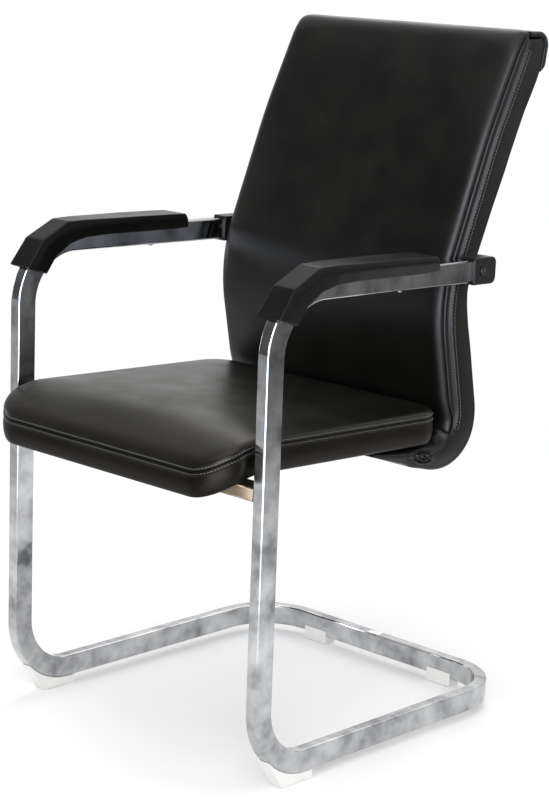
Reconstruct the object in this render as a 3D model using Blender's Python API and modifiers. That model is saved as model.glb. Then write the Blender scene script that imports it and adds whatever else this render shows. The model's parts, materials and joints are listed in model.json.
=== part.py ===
"""Cantilever visitor chair with a bent tube frame, a padded seat, a high padded back and moulded arms.

Metres, +Z up, the floor at Z = 0. The sitter faces -Y, so +X is the sitter's left.
Places along Y are counted from the front legs' centreline; the whole chair hangs from one empty,
which puts the middle of its footprint at the origin.
"""
import math

import bmesh
import bpy
import numpy as np
from mathutils import Matrix, Vector

# Frame: one bent rectangular tube on each side
FRAME_WIDTH = 0.516
TUBE_DEPTH = 0.032
TUBE_THICKNESS = 0.019
TUBE_WALL = 0.0015
TUBE_CORNER = 0.002
BEND_RADIUS = 0.088
BASE_LENGTH = 0.532
ARM_HEIGHT = 0.6812
ARM_DROP = 0.0185
ARM_TAIL = 0.0217
SPLICE_LENGTH = 0.090

# Seat crossbar and what stands on it
BAR_Z = 0.4150
SADDLE_WIDTH = 0.036
SADDLE_DEPTH = 0.024
SADDLE_STEEL = 0.0025
SADDLE_INSET = 0.089

# Seat
SEAT_SIDE_GAP = 0.008
SEAT_FRONT = -0.0765
SEAT_REAR = 0.385
SEAT_SEAM_Z = 0.4754
BOXING_HEIGHT = 0.040
SEAT_CROWN = 0.009
FRONT_CORNER = 0.0525
REAR_CORNER = 0.050
WATERFALL_START = 0.012
WATERFALL_DROP = 0.0305
SEAT_SLOPE = 0.0325
SEAT_BOARD = 0.012
BOARD_INSET = 0.016
COVER_SHEET = 0.0012
SEAT_UNDER_EDGE = ((0.0085, 0.0), (0.0030, 0.0030), (0.0004, 0.011), (0.0, 0.024))
SEAT_OVER_EDGE = ((0.0010, 0.0042), (0.0036, 0.0082), (0.0095, 0.0114), (0.019, 0.0132))
SEAT_SEAM = ((0.0012, -0.0050), (0.0036, 0.0))

# Back: a side profile of straight runs and arcs, from the top edge down to the lip under the seat
BACK_TOP = (0.5465, 0.9900)
SHOULDER = (0.4780, 0.8510)
SHOULDER_RADIUS = 0.80
LUMBAR = (0.3904, 0.6291)
LUMBAR_RADIUS = 0.20
HEEL = (0.4370, 0.3962)
HEEL_RADIUS = 0.051
LIP_END = (0.2480, 0.4222)
BACK_FRONT = 0.0325
BACK_REAR = 0.0372
REAR_DEPTHS = (
    (0.08, 0.0381), (0.14, 0.0403), (0.24, 0.0416), (0.34, 0.0416), (0.44, 0.0381), (0.54, 0.0362),
    (0.68, 0.0338), (0.76, 0.0392), (0.85, 0.0413), (1.0, 0.0417))
HEEL_DEPTHS = ((0.32, 0.0438), (0.48, 0.0397), (0.64, 0.0337), (0.82, 0.0260))
LIP_LOWER = 0.0216
ROLL_LOWER = 0.0187
LIP_STEP = 0.0130
LIP_STEP_RUN = 0.012
LIP_EDGE = 0.0030
BACK_CROWN = 0.006
CROWN_END = 0.035
CROWN_FADE = 0.080
BACK_BOARD = 0.015
BOARD_SIDE_PADDING = 0.0205
BOARD_END_Y = 0.325
EDGE_BAND = 0.011
GROOVE = 0.0038
TOP_OVERLAP = 0.0089
TOP_ROUND = 0.0125
TOP_RISE = 0.50
TOP_LEAN = 0.0135
TOP_CORNER = 0.015
TOP_PADDING = 0.045
PANEL_EDGE = 0.027
PANEL_SOFTNESS = 0.0030
BODY_CORNER = 0.009
REAR_ROUND = 0.006
REAR_CROWN = 0.0025
REAR_CROWN_FADE = 0.100
FLAP = 0.0085
FLAP_LENGTH = 0.042
FLAP_SLANT = 0.017
BOARD_BELOW_TOP = 0.014

# Arm pads, end caps and their fixings
PAD_WALL = 0.0082
PAD_EDGE = 0.0016
PAD_SHOULDER = 0.0012
PAD_EDGES = (
    (-0.0931, 0.0085, 0.0212, -0.0830, 0.0300), (-0.0571, 0.0131, 0.0195, -0.0500, 0.0235),
    (-0.0165, 0.0160, 0.0192, -0.0165, 0.0175), (0.012, 0.0150, 0.0212, 0.012, 0.0120),
    (0.050, 0.0148, 0.0228, 0.050, 0.0100), (0.110, 0.0150, 0.0242, 0.110, 0.0100),
    (0.185, 0.0144, 0.0245, 0.190, 0.0098), (0.206, 0.0138, 0.0240, 0.219, 0.0085))
PAD_SCREW_Y = 0.245
PAD_SCREW_GRIP = 0.008
CAP_WALL = 0.003
CAP_LENGTH = 0.048
CAP_END = 0.008
CAP_ROUND = 0.006
CAP_EDGE = 0.0012
CAP_RECESS = 0.001
SPACER_RADIUS = 0.011
SPACER_LENGTH = 0.0146

# Glides
GLIDE_HEIGHT = 0.012
GLIDE_OVERHANG = 0.001
GLIDE_TOE = 0.048
GLIDE_HEEL = 0.012
GLIDE_ANGLE = 46
GLIDE_TIP = 0.0012
CLIP_WALL = 0.0025
CLIP_LENGTH = 0.046
CLIP_CHEEK = 0.0096
CLIP_INSET = 0.1185

# Fasteners and the clearances round them
BOLT_RADIUS = 0.003
BOLT_HEAD_RADIUS = 0.0055
BOLT_HEAD = 0.0033
SCREW_RADIUS = 0.002
SCREW_HEAD_RADIUS = 0.0040
SCREW_HEAD = 0.0024
SCREW_RECESS = 0.005
NUT_BARREL_RADIUS = 0.0045
NUT_BARREL = 0.0085
NUT_FLANGE_RADIUS = 0.009
NUT_FLANGE = 0.0015
LIP_BOLT_Y = 0.345
LIP_BOLT_INSETS = (0.140, 0.030)
INSERT_LENGTH = 0.028
INSERT_RADIUS = 0.005
GAP = 0.0003

# What follows from those
HALF_FRAME = FRAME_WIDTH / 2 - TUBE_THICKNESS / 2
LEG_INNER = HALF_FRAME - TUBE_THICKNESS / 2
LEG_OUTER = HALF_FRAME + TUBE_THICKNESS / 2
TUBE_Z = GLIDE_HEIGHT + TUBE_DEPTH / 2
HOLE = BOLT_RADIUS + GAP
SCREW_HOLE = SCREW_RADIUS + GAP
SEAT_BOTTOM_Z = SEAT_SEAM_Z - BOXING_HEIGHT
BAR_TOP = BAR_Z + TUBE_THICKNESS / 2
BAR_BOTTOM = BAR_Z - TUBE_THICKNESS / 2
BOARD_LOWER = SEAT_BOTTOM_Z + COVER_SHEET + 2 * GAP
BOARD_UPPER = BOARD_LOWER + SEAT_BOARD
CAP_INNER = LEG_INNER - GAP - CAP_WALL
CAP_OUTER = LEG_OUTER + GAP + CAP_WALL
HALF_SEAT = LEG_INNER - SEAT_SIDE_GAP
HALF_BACK = CAP_INNER - SPACER_LENGTH - 2 * GAP
HALF_BOARD = HALF_BACK - BOARD_SIDE_PADDING
SADDLE_X = LEG_INNER - SADDLE_INSET
CLIP_X = HALF_FRAME - CLIP_INSET
LIP_BOLT_X = tuple(HALF_BOARD - inset for inset in LIP_BOLT_INSETS)
PANEL_REAR = BACK_BOARD / 2 + GAP
BODY_FRONT = PANEL_REAR - 0.0005
FLAP_TOP = -TOP_OVERLAP
BODY_TOP = FLAP_TOP + FLAP + 2 * GAP

SIDES = ((1, "left"), (-1, "right"))
BENDS = 8
ROUND = 12


def arm_z(y):
    """Height of the arm tube's centreline at y: it drops evenly towards the back."""
    return ARM_HEIGHT - ARM_DROP * y


def rounded_path(corners, radii, steps=BENDS):
    """Polyline through the first and last corner, with each corner between them turned into an arc."""
    corners = [np.array(c, float) for c in corners]
    points = [corners[0]]
    for before, corner, after, radius in zip(corners, corners[1:], corners[2:], radii):
        u = (before - corner) / np.linalg.norm(before - corner)
        v = (after - corner) / np.linalg.norm(after - corner)
        angle = math.acos(float(np.clip(u @ v, -1, 1)))
        centre = corner + (u + v) / np.linalg.norm(u + v) * radius / math.sin(angle / 2)
        start = corner + u * radius / math.tan(angle / 2) - centre
        end = corner + v * radius / math.tan(angle / 2) - centre
        turn = math.pi - angle
        for k in range(steps + 1):
            a = turn * k / steps
            points.append(centre + (start * math.sin(turn - a) + end * math.sin(a)) / math.sin(turn))
    points.append(corners[-1])
    return np.array(points)


def empty_scene():
    """Remove what the scene holds and make one collection for the parts and one for the cutters."""
    for obj in list(bpy.data.objects):
        bpy.data.objects.remove(obj, do_unlink=True)
    groups = []
    for name in ("visitor_chair", "cutters"):
        group = bpy.data.collections.new(name)
        bpy.context.scene.collection.children.link(group)
        groups.append(group)
    return groups


PARTS, CUTTERS = empty_scene()
ORIGIN = bpy.data.objects.new("chair_origin", None)
PARTS.objects.link(ORIGIN)


def material(name, colour, roughness, metallic=0.0):
    """Principled material in one colour."""
    mat = bpy.data.materials.new(name)
    mat.use_nodes = True
    shader = mat.node_tree.nodes["Principled BSDF"]
    shader.inputs["Base Color"].default_value = (*colour, 1.0)
    shader.inputs["Roughness"].default_value = roughness
    shader.inputs["Metallic"].default_value = metallic
    return mat


CHROME = material("chromed_steel", (0.62, 0.63, 0.64), 0.12, 1.0)
NICKEL = material("nickel_plated_steel", (0.50, 0.45, 0.39), 0.25, 1.0)
ZINC = material("zinc_plated_steel", (0.55, 0.55, 0.54), 0.35, 1.0)
BLACK_STEEL = material("black_coated_steel", (0.02, 0.02, 0.02), 0.45)
LEATHER = material("black_leather", (0.012, 0.012, 0.012), 0.38)
PLYWOOD = material("birch_plywood", (0.55, 0.38, 0.22), 0.6)
DUST_CLOTH = material("dust_cover_cloth", (0.02, 0.02, 0.02), 0.9)
BLACK_PLASTIC = material("black_moulded_plastic", (0.012, 0.012, 0.012), 0.35)
WHITE_PLASTIC = material("white_moulded_plastic", (0.80, 0.80, 0.79), 0.45)


def place(obj, mat):
    """Put a finished part in the chair's collection, under the empty, in its material."""
    PARTS.objects.link(obj)
    obj.parent = ORIGIN
    obj.data.materials.clear()
    obj.data.materials.append(mat)
    return obj


def as_cutter(obj):
    """Put a cutter in its own collection, hidden, in the same frame as the parts."""
    CUTTERS.objects.link(obj)
    obj.parent = ORIGIN
    obj.hide_render = True
    obj.display_type = "WIRE"
    return obj


def smooth(mesh, angle=35):
    """Shade round stretches smooth and leave edges sharper than the angle."""
    mesh.shade_smooth()
    mesh.set_sharp_from_angle(angle=math.radians(angle))


def cut(obj, *cutters):
    """Take each cutter out of a part."""
    for cutter in cutters:
        boolean = obj.modifiers.new("cut", "BOOLEAN")
        boolean.operation = "DIFFERENCE"
        boolean.solver = "EXACT"
        boolean.object = cutter


def solidify(obj, thickness, offset):
    """Give an open surface its thickness."""
    wall = obj.modifiers.new("wall", "SOLIDIFY")
    wall.thickness = thickness
    wall.offset = offset
    wall.use_even_offset = True


def bevel(obj, width, segments=2, angle=35):
    """Round the edges that are sharper than the angle."""
    edge = obj.modifiers.new("edge", "BEVEL")
    edge.width = width
    edge.segments = segments
    edge.limit_method = "ANGLE"
    edge.angle_limit = math.radians(angle)


def evaluated_mesh(obj, name):
    """Mesh of an object as the viewport shows it, with loose doubles welded, and the object removed."""
    bpy.context.view_layer.update()
    graph = bpy.context.evaluated_depsgraph_get()
    mesh = bpy.data.meshes.new_from_object(obj.evaluated_get(graph))
    mesh.transform(obj.matrix_world)
    bpy.data.objects.remove(obj, do_unlink=True)
    mesh.name = name
    bm = bmesh.new()
    bm.from_mesh(mesh)
    bmesh.ops.remove_doubles(bm, verts=bm.verts, dist=1e-6)
    bmesh.ops.recalc_face_normals(bm, faces=bm.faces)
    bm.to_mesh(mesh)
    bm.free()
    return mesh


def poly_curve(name, points, closed=False, flat=False):
    """Curve object of one POLY spline through the points."""
    curve = bpy.data.curves.new(name, "CURVE")
    curve.dimensions = "2D" if flat else "3D"
    spline = curve.splines.new("POLY")
    spline.points.add(len(points) - 1)
    for target, point in zip(spline.points, points):
        target.co = (*point, 1.0) if len(point) == 3 else (*point, 0.0, 1.0)
    spline.use_cyclic_u = closed
    obj = bpy.data.objects.new(name, curve)
    bpy.context.scene.collection.objects.link(obj)
    return obj


def rectangle_profile(width, height, corner, steps=2):
    """Closed outline of a rectangle with round corners, in X and Y."""
    points = []
    for k, (sx, sy) in enumerate(((1, 1), (-1, 1), (-1, -1), (1, -1))):
        for j in range(steps + 1):
            a = math.radians(90 * (k + j / steps))
            x = sx * (width / 2 - corner) + corner * math.cos(a)
            y = sy * (height / 2 - corner) + corner * math.sin(a)
            points.append((x, y))
    return points


def swept_tube(name, path, width, height, corner, caps=False):
    """Mesh of a rectangular tube's outer skin along a path; width lies across the plane of its bends."""
    profile = poly_curve(name + "_profile", rectangle_profile(width, height, corner), closed=True, flat=True)
    rail = poly_curve(name, path)
    rail.data.twist_mode = "MINIMUM"
    rail.data.bevel_mode = "OBJECT"
    rail.data.bevel_object = profile
    rail.data.use_fill_caps = caps
    mesh = evaluated_mesh(rail, name)
    bpy.data.objects.remove(profile, do_unlink=True)
    return mesh


def cylinder(name, radius, length, centre, axis="Z", sides=ROUND):
    """Cylinder along an axis, as a mesh object placed at its centre."""
    mesh = bpy.data.meshes.new(name)
    bm = bmesh.new()
    bmesh.ops.create_cone(
        bm, cap_ends=True, segments=sides, radius1=radius, radius2=radius, depth=length)
    bm.to_mesh(mesh)
    bm.free()
    obj = bpy.data.objects.new(name, mesh)
    obj.location = centre
    if axis == "X":
        obj.rotation_euler = (0, math.pi / 2, 0)
    return obj


def box(name, size, centre):
    """Box as a mesh object placed at its centre, its size in the mesh."""
    mesh = bpy.data.meshes.new(name)
    bm = bmesh.new()
    bmesh.ops.create_cube(bm, size=1.0)
    bmesh.ops.scale(bm, vec=Vector(size), verts=bm.verts)
    bm.to_mesh(mesh)
    bm.free()
    obj = bpy.data.objects.new(name, mesh)
    obj.location = centre
    return obj


def turned(name, profile, closed=False, sides=ROUND):
    """Mesh turned about Z from (radius, z) points that run down the outer side."""
    mesh = bpy.data.meshes.new(name)
    edges = [(k, k + 1) for k in range(len(profile) - 1)]
    if closed:
        edges.append((len(profile) - 1, 0))
    mesh.from_pydata([(r, 0, z) for r, z in profile], edges, [])
    obj = bpy.data.objects.new(name, mesh)
    bpy.context.scene.collection.objects.link(obj)
    screw = obj.modifiers.new("turn", "SCREW")
    screw.steps = sides
    screw.render_steps = sides
    screw.use_merge_vertices = True
    screw.merge_threshold = 0.00001
    screw.use_smooth_shade = False
    turned_mesh = evaluated_mesh(obj, name)
    smooth(turned_mesh)
    return turned_mesh


def repeat(mesh, mat, places):
    """One object for each (name, location, rotation) of a repeated part; they share its mesh."""
    for name, location, rotation in places:
        obj = place(bpy.data.objects.new(name, mesh), mat)
        obj.location = location
        obj.rotation_euler = rotation


def fastener(name, shank, length, head_radius, head):
    """Mesh of a pan-head screw with a hexagon socket: head on top, shank down -Z from its seat at 0."""
    mesh = turned(name, [
        (0, head), (0.62 * head_radius, head), (0.90 * head_radius, 0.72 * head), (head_radius, 0.30 * head),
        (head_radius, 0), (shank, 0), (shank, 0.0008 - length), (0.72 * shank, -length), (0, -length)])
    obj = bpy.data.objects.new(name, mesh)
    bpy.context.scene.collection.objects.link(obj)
    socket = as_cutter(cylinder(name + "_socket", 0.42 * head_radius, 1.3 * head, (0, 0, head), sides=6))
    cut(obj, socket)
    finished = evaluated_mesh(obj, name)
    bpy.data.objects.remove(socket, do_unlink=True)
    smooth(finished)
    return finished


def closed_grid(name, sheets):
    """Closed mesh from rings of points that all have the same count, with the two ends filled."""
    rings = [np.asarray(ring, float) for ring in sheets]
    count = len(rings[0])
    vertices = np.concatenate(rings)
    faces = []
    for k in range(len(rings) - 1):
        for j in range(count):
            a, b = k * count + j, k * count + (j + 1) % count
            faces.append((a, b, b + count, a + count))
    faces.append(tuple(range(count))[::-1])
    faces.append(tuple(range((len(rings) - 1) * count, len(rings) * count)))
    mesh = bpy.data.meshes.new(name)
    mesh.from_pydata([tuple(v) for v in vertices], [], faces)
    bm = bmesh.new()
    bm.from_mesh(mesh)
    bmesh.ops.recalc_face_normals(bm, faces=bm.faces)
    bm.to_mesh(mesh)
    bm.free()
    smooth(mesh, 50)
    return bpy.data.objects.new(name, mesh)


# The frame


def side_path(side, reach=0.0):
    """Centreline of one side's tube, from the arm's rear end to the middle of the rear rail."""
    x = side * HALF_FRAME
    corners = [
        (x, ARM_LENGTH + reach, arm_z(ARM_LENGTH + reach)),
        (x, 0.0, arm_z(0.0)),
        (x, 0.0, TUBE_Z),
        (x, BASE_LENGTH, TUBE_Z),
        (side * GAP / 2, BASE_LENGTH, TUBE_Z),
    ]
    return rounded_path(corners, [BEND_RADIUS] * 3)


def clearance_tube(name, side):
    """Cutter along one side's tube, larger all round by the gap, that seats what fits on the tube."""
    mesh = swept_tube(
        name, side_path(side, GAP), TUBE_THICKNESS + 2 * GAP, TUBE_DEPTH + 2 * GAP, TUBE_CORNER, caps=True)
    return as_cutter(bpy.data.objects.new(name, mesh))


def hollow_tube(name, path, width, height, mat):
    """Rectangular tube with its wall, open at both ends."""
    mesh = swept_tube(name, path, width, height, TUBE_CORNER)
    smooth(mesh)
    obj = place(bpy.data.objects.new(name, mesh), mat)
    solidify(obj, TUBE_WALL, -1)
    return obj


def frame_tube(side, label):
    """Arm, front leg, base rail and half the rear rail in one tube, with its screw holes."""
    tube = hollow_tube("frame_tube_" + label, side_path(side), TUBE_THICKNESS, TUBE_DEPTH, CHROME)
    x = side * HALF_FRAME
    drill = [
        cylinder("bolt_hole", HOLE, 3 * TUBE_THICKNESS, (x, ARM_BOLT_Y, arm_z(ARM_BOLT_Y)), "X"),
        cylinder("pad_hole", SCREW_HOLE, 2 * TUBE_DEPTH, (x, PAD_SCREW_Y, arm_z(PAD_SCREW_Y))),
        cylinder("front_glide_hole", SCREW_HOLE, TUBE_DEPTH, (x, BEND_RADIUS, GLIDE_HEIGHT)),
        cylinder("rear_glide_hole", SCREW_HOLE, TUBE_DEPTH, (side * CLIP_X, BASE_LENGTH, GLIDE_HEIGHT)),
    ]
    cut(tube, *[as_cutter(hole) for hole in drill])
    return tube


def rear_rail_splice():
    """Short sleeve inside the rear rail, across the weld between the two tubes."""
    inner_height = TUBE_DEPTH - 2 * TUBE_WALL - 2 * GAP
    inner_width = TUBE_THICKNESS - 2 * TUBE_WALL - 2 * GAP
    path = [(-SPLICE_LENGTH / 2, BASE_LENGTH, TUBE_Z), (SPLICE_LENGTH / 2, BASE_LENGTH, TUBE_Z)]
    return hollow_tube("rear_rail_splice", path, inner_width, inner_height, ZINC)


def seat_crossbar():
    """Flat tube between the legs' inner faces, drilled for the two saddle bolts."""
    end = LEG_INNER - GAP
    bar = hollow_tube("seat_crossbar", [(-end, 0, BAR_Z), (end, 0, BAR_Z)], TUBE_DEPTH, TUBE_THICKNESS, NICKEL)
    for side in (1, -1):
        cut(bar, as_cutter(cylinder("bar_hole", HOLE, 2 * TUBE_DEPTH, (side * SADDLE_X, 0, BAR_Z))))
    return bar


def seat_saddle(side, label):
    """Folded channel of black steel between the crossbar and the seat."""
    top = seat_bottom(-SADDLE_DEPTH / 2) - GAP
    foot = BAR_TOP + GAP
    across = SADDLE_WIDTH / 2 - SADDLE_STEEL / 2
    turn = SADDLE_STEEL
    outline = rounded_path(
        [(-across, foot), (-across, top - SADDLE_STEEL / 2), (across, top - SADDLE_STEEL / 2), (across, foot)],
        [turn, turn], 3)
    sheet = poly_curve("seat_saddle_" + label, outline, flat=True)
    sheet.data.extrude = SADDLE_DEPTH / 2
    sheet.rotation_euler = (math.pi / 2, 0, 0)
    sheet.location = (side * SADDLE_X, 0, 0)
    mesh = evaluated_mesh(sheet, "seat_saddle_" + label)
    saddle = place(bpy.data.objects.new("seat_saddle_" + label, mesh), BLACK_STEEL)
    solidify(saddle, SADDLE_STEEL, 0)
    cut(saddle, as_cutter(cylinder("saddle_hole", HOLE, TUBE_DEPTH, (side * SADDLE_X, 0, top))))
    return saddle


# The seat


def seat_fall(y):
    """How far the seat lies below its seam height at y: the front drops away, the rear slopes down."""
    y = np.asarray(y, float)
    ahead = np.clip(WATERFALL_START - y, 0, None) / (WATERFALL_START - SEAT_FRONT)
    return WATERFALL_DROP * ahead ** 2 + SEAT_SLOPE * np.clip(y - WATERFALL_START, 0, None)


def seat_bottom(y):
    """Height of the seat's underside at y."""
    return SEAT_BOTTOM_Z - float(seat_fall(y))


def side_stretch(start, end, corner_a, corner_b, arc, steps):
    """Points from the middle of one round corner to the middle of the next, along one side of an outline."""
    start, end = np.array(start, float), np.array(end, float)
    along = (end - start) / np.linalg.norm(end - start)
    inward = np.array([-along[1], along[0]])
    points = []
    for k in range(arc):
        a = math.pi / 4 * (1 + k / arc)
        centre = start + (along + inward) * corner_a
        points.append(centre - along * corner_a * math.cos(a) - inward * corner_a * math.sin(a))
    a_end, b_start = start + along * corner_a, end - along * corner_b
    points += [a_end + (b_start - a_end) * step for step in steps]
    for k in range(1, arc + 1):
        a = math.pi / 2 * (1 - k / arc / 2)
        centre = end + (inward - along) * corner_b
        points.append(centre + along * corner_b * math.cos(a) - inward * corner_b * math.sin(a))
    return np.array(points)


def seat_grid(inset, arc, straight):
    """Grid of plan points that fills the seat's outline, drawn in by the inset all round."""
    x, front, rear = HALF_SEAT - inset, SEAT_FRONT + inset, SEAT_REAR - inset
    f, r = max(FRONT_CORNER - inset, 0.01), max(REAR_CORNER - inset, 0.01)
    even = np.linspace(0, 1, straight + 1)
    run = (rear - r) - (front + f)
    bent = (WATERFALL_START - (front + f)) / run
    deep = np.concatenate([[0, bent / 2], np.linspace(bent, 1, straight - 1)])
    low = side_stretch((-x, front), (x, front), f, f, arc, even)
    right = side_stretch((x, front), (x, rear), f, r, arc, deep)
    high = side_stretch((x, rear), (-x, rear), r, r, arc, even)[::-1]
    left = side_stretch((-x, rear), (-x, front), r, f, arc, 1 - deep[::-1])[::-1]
    n = len(low)
    t = np.linspace(0, 1, n)[:, None, None]
    u = np.linspace(0, 1, n)[None, :, None]
    edges = (1 - t) * low[None] + t * high[None] + (1 - u) * left[:, None] + u * right[:, None]
    corners = ((1 - t) * (1 - u) * low[0] + (1 - t) * u * low[-1]
               + t * (1 - u) * high[0] + t * u * high[-1])
    return edges - corners


def rim(grid):
    """The points or vertices round the border of a square grid, in order."""
    return [*grid[0, :-1], *grid[:-1, -1], *grid[-1, :0:-1], *grid[:0:-1, 0]]


def seat_layers(name, profile, crown=0.0, arc=2, straight=5):
    """Closed body over the seat's plan: (inset, height) pairs up its side, and a crown on its top."""
    bm = bmesh.new()

    def layer(inset, height, rise=0.0):
        grid = seat_grid(inset, arc, straight)
        line = 1 - np.abs(np.linspace(-1, 1, len(grid))) ** 3
        z = SEAT_SEAM_Z + height + rise * np.outer(line, line) - seat_fall(grid[..., 1])
        return np.dstack([grid, z])

    def sheet(points):
        n = len(points)
        verts = np.empty((n, n), object)
        for i in range(n):
            for j in range(n):
                verts[i, j] = bm.verts.new(points[i, j])
        for i in range(n - 1):
            for j in range(n - 1):
                bm.faces.new((verts[i, j], verts[i, j + 1], verts[i + 1, j + 1], verts[i + 1, j]))
        return rim(verts)

    rims = [sheet(layer(*profile[0]))]
    rims += [[bm.verts.new(p) for p in rim(layer(*pair))] for pair in profile[1:-1]]
    rims.append(sheet(layer(*profile[-1], crown)))
    for lower, upper in zip(rims, rims[1:]):
        for k in range(len(lower)):
            m = (k + 1) % len(lower)
            bm.faces.new((lower[k], lower[m], upper[m], upper[k]))
    bmesh.ops.recalc_face_normals(bm, faces=bm.faces)
    mesh = bpy.data.meshes.new(name)
    bm.to_mesh(mesh)
    bm.free()
    smooth(mesh, 50)
    return bpy.data.objects.new(name, mesh)


def seat_nut_places():
    """Where the T-nuts sit, each with its name: above the saddles, and above the back's lip."""
    places = [("saddle_" + label, side * SADDLE_X, 0.0) for side, label in SIDES]
    return places + [(f"lip_{row}_{label}", side * x, LIP_BOLT_Y)
                     for row, x in zip(("inner", "outer"), LIP_BOLT_X) for side, label in SIDES]


def nut_seat_z(y):
    """Underside of a T-nut's flange at y, let into the board's upper face."""
    deepest = max(float(seat_fall(y + NUT_FLANGE_RADIUS)), float(seat_fall(y - NUT_FLANGE_RADIUS)))
    return BOARD_UPPER - deepest - NUT_FLANGE - 2 * GAP


def seat_cushion():
    """Foam in leather: boxing, a seam all round, a crowned top, and a pocket underneath for the board."""
    low = -BOXING_HEIGHT
    side = [(inset, low + height) for inset, height in SEAT_UNDER_EDGE] + [*SEAT_SEAM, *SEAT_OVER_EDGE]
    cushion = place(seat_layers("seat_cushion", side, SEAT_CROWN, arc=3, straight=7), LEATHER)
    rim_inset, ceiling = BOARD_INSET - GAP, BOARD_UPPER - SEAT_SEAM_Z + GAP
    cut(cushion, as_cutter(seat_layers("board_pocket", [(rim_inset, 2 * low), (rim_inset, ceiling)])))
    return cushion


def seat_board():
    """Plywood under the foam, bent down at the front, with a hole and a recess for each T-nut."""
    board = place(seat_layers("seat_board", [
        (BOARD_INSET, BOARD_LOWER - SEAT_SEAM_Z), (BOARD_INSET, BOARD_UPPER - SEAT_SEAM_Z)]), PLYWOOD)
    for _, x, y in seat_nut_places():
        z = nut_seat_z(y) - GAP
        cut(board,
            as_cutter(cylinder("nut_hole", NUT_BARREL_RADIUS + GAP, 0.06, (x, y, z))),
            as_cutter(cylinder("nut_recess", NUT_FLANGE_RADIUS + GAP, 0.03, (x, y, z + 0.015))))
    return board


def seat_dust_cover():
    """Thin sheet that closes the seat from below, with holes for the bolts."""
    cover = place(seat_layers("seat_dust_cover", [
        (BOARD_INSET, -BOXING_HEIGHT), (BOARD_INSET, COVER_SHEET - BOXING_HEIGHT)]), DUST_CLOTH)
    for _, x, y in seat_nut_places():
        cut(cover, as_cutter(cylinder("cover_hole", HOLE + GAP, 0.02, (x, y, seat_bottom(y)), sides=8)))
    return cover


def seat_t_nuts():
    """Flanged nuts let into the seat board from above."""
    nut = turned("seat_t_nut", [
        (HOLE, NUT_FLANGE), (NUT_FLANGE_RADIUS, NUT_FLANGE), (NUT_FLANGE_RADIUS, 0.0),
        (NUT_BARREL_RADIUS, 0.0), (NUT_BARREL_RADIUS, -NUT_BARREL), (HOLE, -NUT_BARREL)], closed=True)
    repeat(nut, ZINC, [("t_nut_" + name, (x, y, nut_seat_z(y)), (0, 0, 0)) for name, x, y in seat_nut_places()])


# The back


BACK_PROFILE = rounded_path(
    [BACK_TOP, SHOULDER, LUMBAR, HEEL, LIP_END], [SHOULDER_RADIUS, LUMBAR_RADIUS, HEEL_RADIUS], 24)
BACK_RUN = np.concatenate([[0], np.cumsum(np.linalg.norm(np.diff(BACK_PROFILE, axis=0), axis=1))])


def back_place(s):
    """Point on the back's middle line and its normal, rearwards or down, at a length s from the top."""
    def at_length(q):
        return np.stack([np.interp(q, BACK_RUN, BACK_PROFILE[:, k]) for k in (0, 1)], -1)
    s = np.asarray(s, float)
    inside = np.clip(s, 0.0005, BACK_RUN[-1] - 0.0005)
    along = at_length(inside + 0.0005) - at_length(inside - 0.0005)
    along /= np.linalg.norm(along, axis=-1)[..., None]
    point = at_length(inside) + along * (s - inside)[..., None]
    return point, np.stack([-along[..., 1], along[..., 0]], -1)


def arc_run(index):
    """Lengths at which the rounded corner of that number starts and ends."""
    first = 1 + 25 * index
    return float(BACK_RUN[first]), float(BACK_RUN[first + 24])


LUMBAR_START, LUMBAR_END = arc_run(1)
HEEL_START, HEEL_END = arc_run(2)
BACK_END = float(BACK_RUN[-1])


def lip_run(y):
    """Length along the middle line at which the lip reaches y."""
    end_y = BACK_PROFILE[-1][0]
    heel_y = float(back_place(HEEL_END)[0][0])
    return BACK_END - (y - end_y) / (heel_y - end_y) * (BACK_END - HEEL_END)


def arm_bolt_y():
    """Where the arm's centreline crosses the back's middle line, which is where the bolt goes in."""
    point, _ = back_place(np.linspace(0, LUMBAR_END, 800))
    above = point[:, 1] - arm_z(point[:, 0])
    return float(np.interp(0.0, above[::-1], point[::-1, 0]))


BOARD_END = lip_run(BOARD_END_Y)
ROLL_END = lip_run(LIP_BOLT_Y - LIP_STEP_RUN)
ARM_BOLT_Y = arm_bolt_y()
ARM_LENGTH = ARM_BOLT_Y + ARM_TAIL


def lip_upper(s):
    """How far the lip reaches above the middle line to meet the seat's underside."""
    point, normal = back_place(s)
    return (seat_bottom(point[0]) - point[1]) * abs(float(normal[1])) - 2 * GAP


def front_depth(s):
    """How far the padding stands in front of the middle line: it thins where it passes under the seat."""
    under, arc = lip_upper(HEEL_END), HEEL_END - HEEL_START
    marks = [HEEL_START - 0.2 * arc, HEEL_START + 0.50 * arc, HEEL_START + 0.72 * arc, HEEL_END, BACK_END]
    return float(np.interp(s, marks, [BACK_FRONT, 0.64 * under + 0.36 * BACK_FRONT - 10 * GAP,
                                      under - 3 * GAP, under, lip_upper(BACK_END)]))


def rear_depth(s):
    """How far the padding stands behind the middle line: it thins at the waist, and below the heel's roll."""
    marks = [FLAP_TOP + FLAP_LENGTH, *(HEEL_START * share for share, _ in REAR_DEPTHS),
             *(HEEL_START + (HEEL_END - HEEL_START) * share for share, _ in HEEL_DEPTHS),
             HEEL_END, ROLL_END, BOARD_END + LIP_STEP_RUN, BACK_END]
    depths = [depth for _, depth in (*REAR_DEPTHS, *HEEL_DEPTHS)]
    return float(np.interp(s, marks, [BACK_REAR, *depths, LIP_LOWER, ROLL_LOWER, LIP_STEP, LIP_EDGE]))


def top_width(s, top, corner):
    """Half the width at s of a layer whose top edge is at top: its upper corners are round."""
    rise = np.clip(1 - (s - top) / corner, 0, 1)
    return HALF_BACK - corner * (1 - math.sqrt(1 - rise ** 2))


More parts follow.
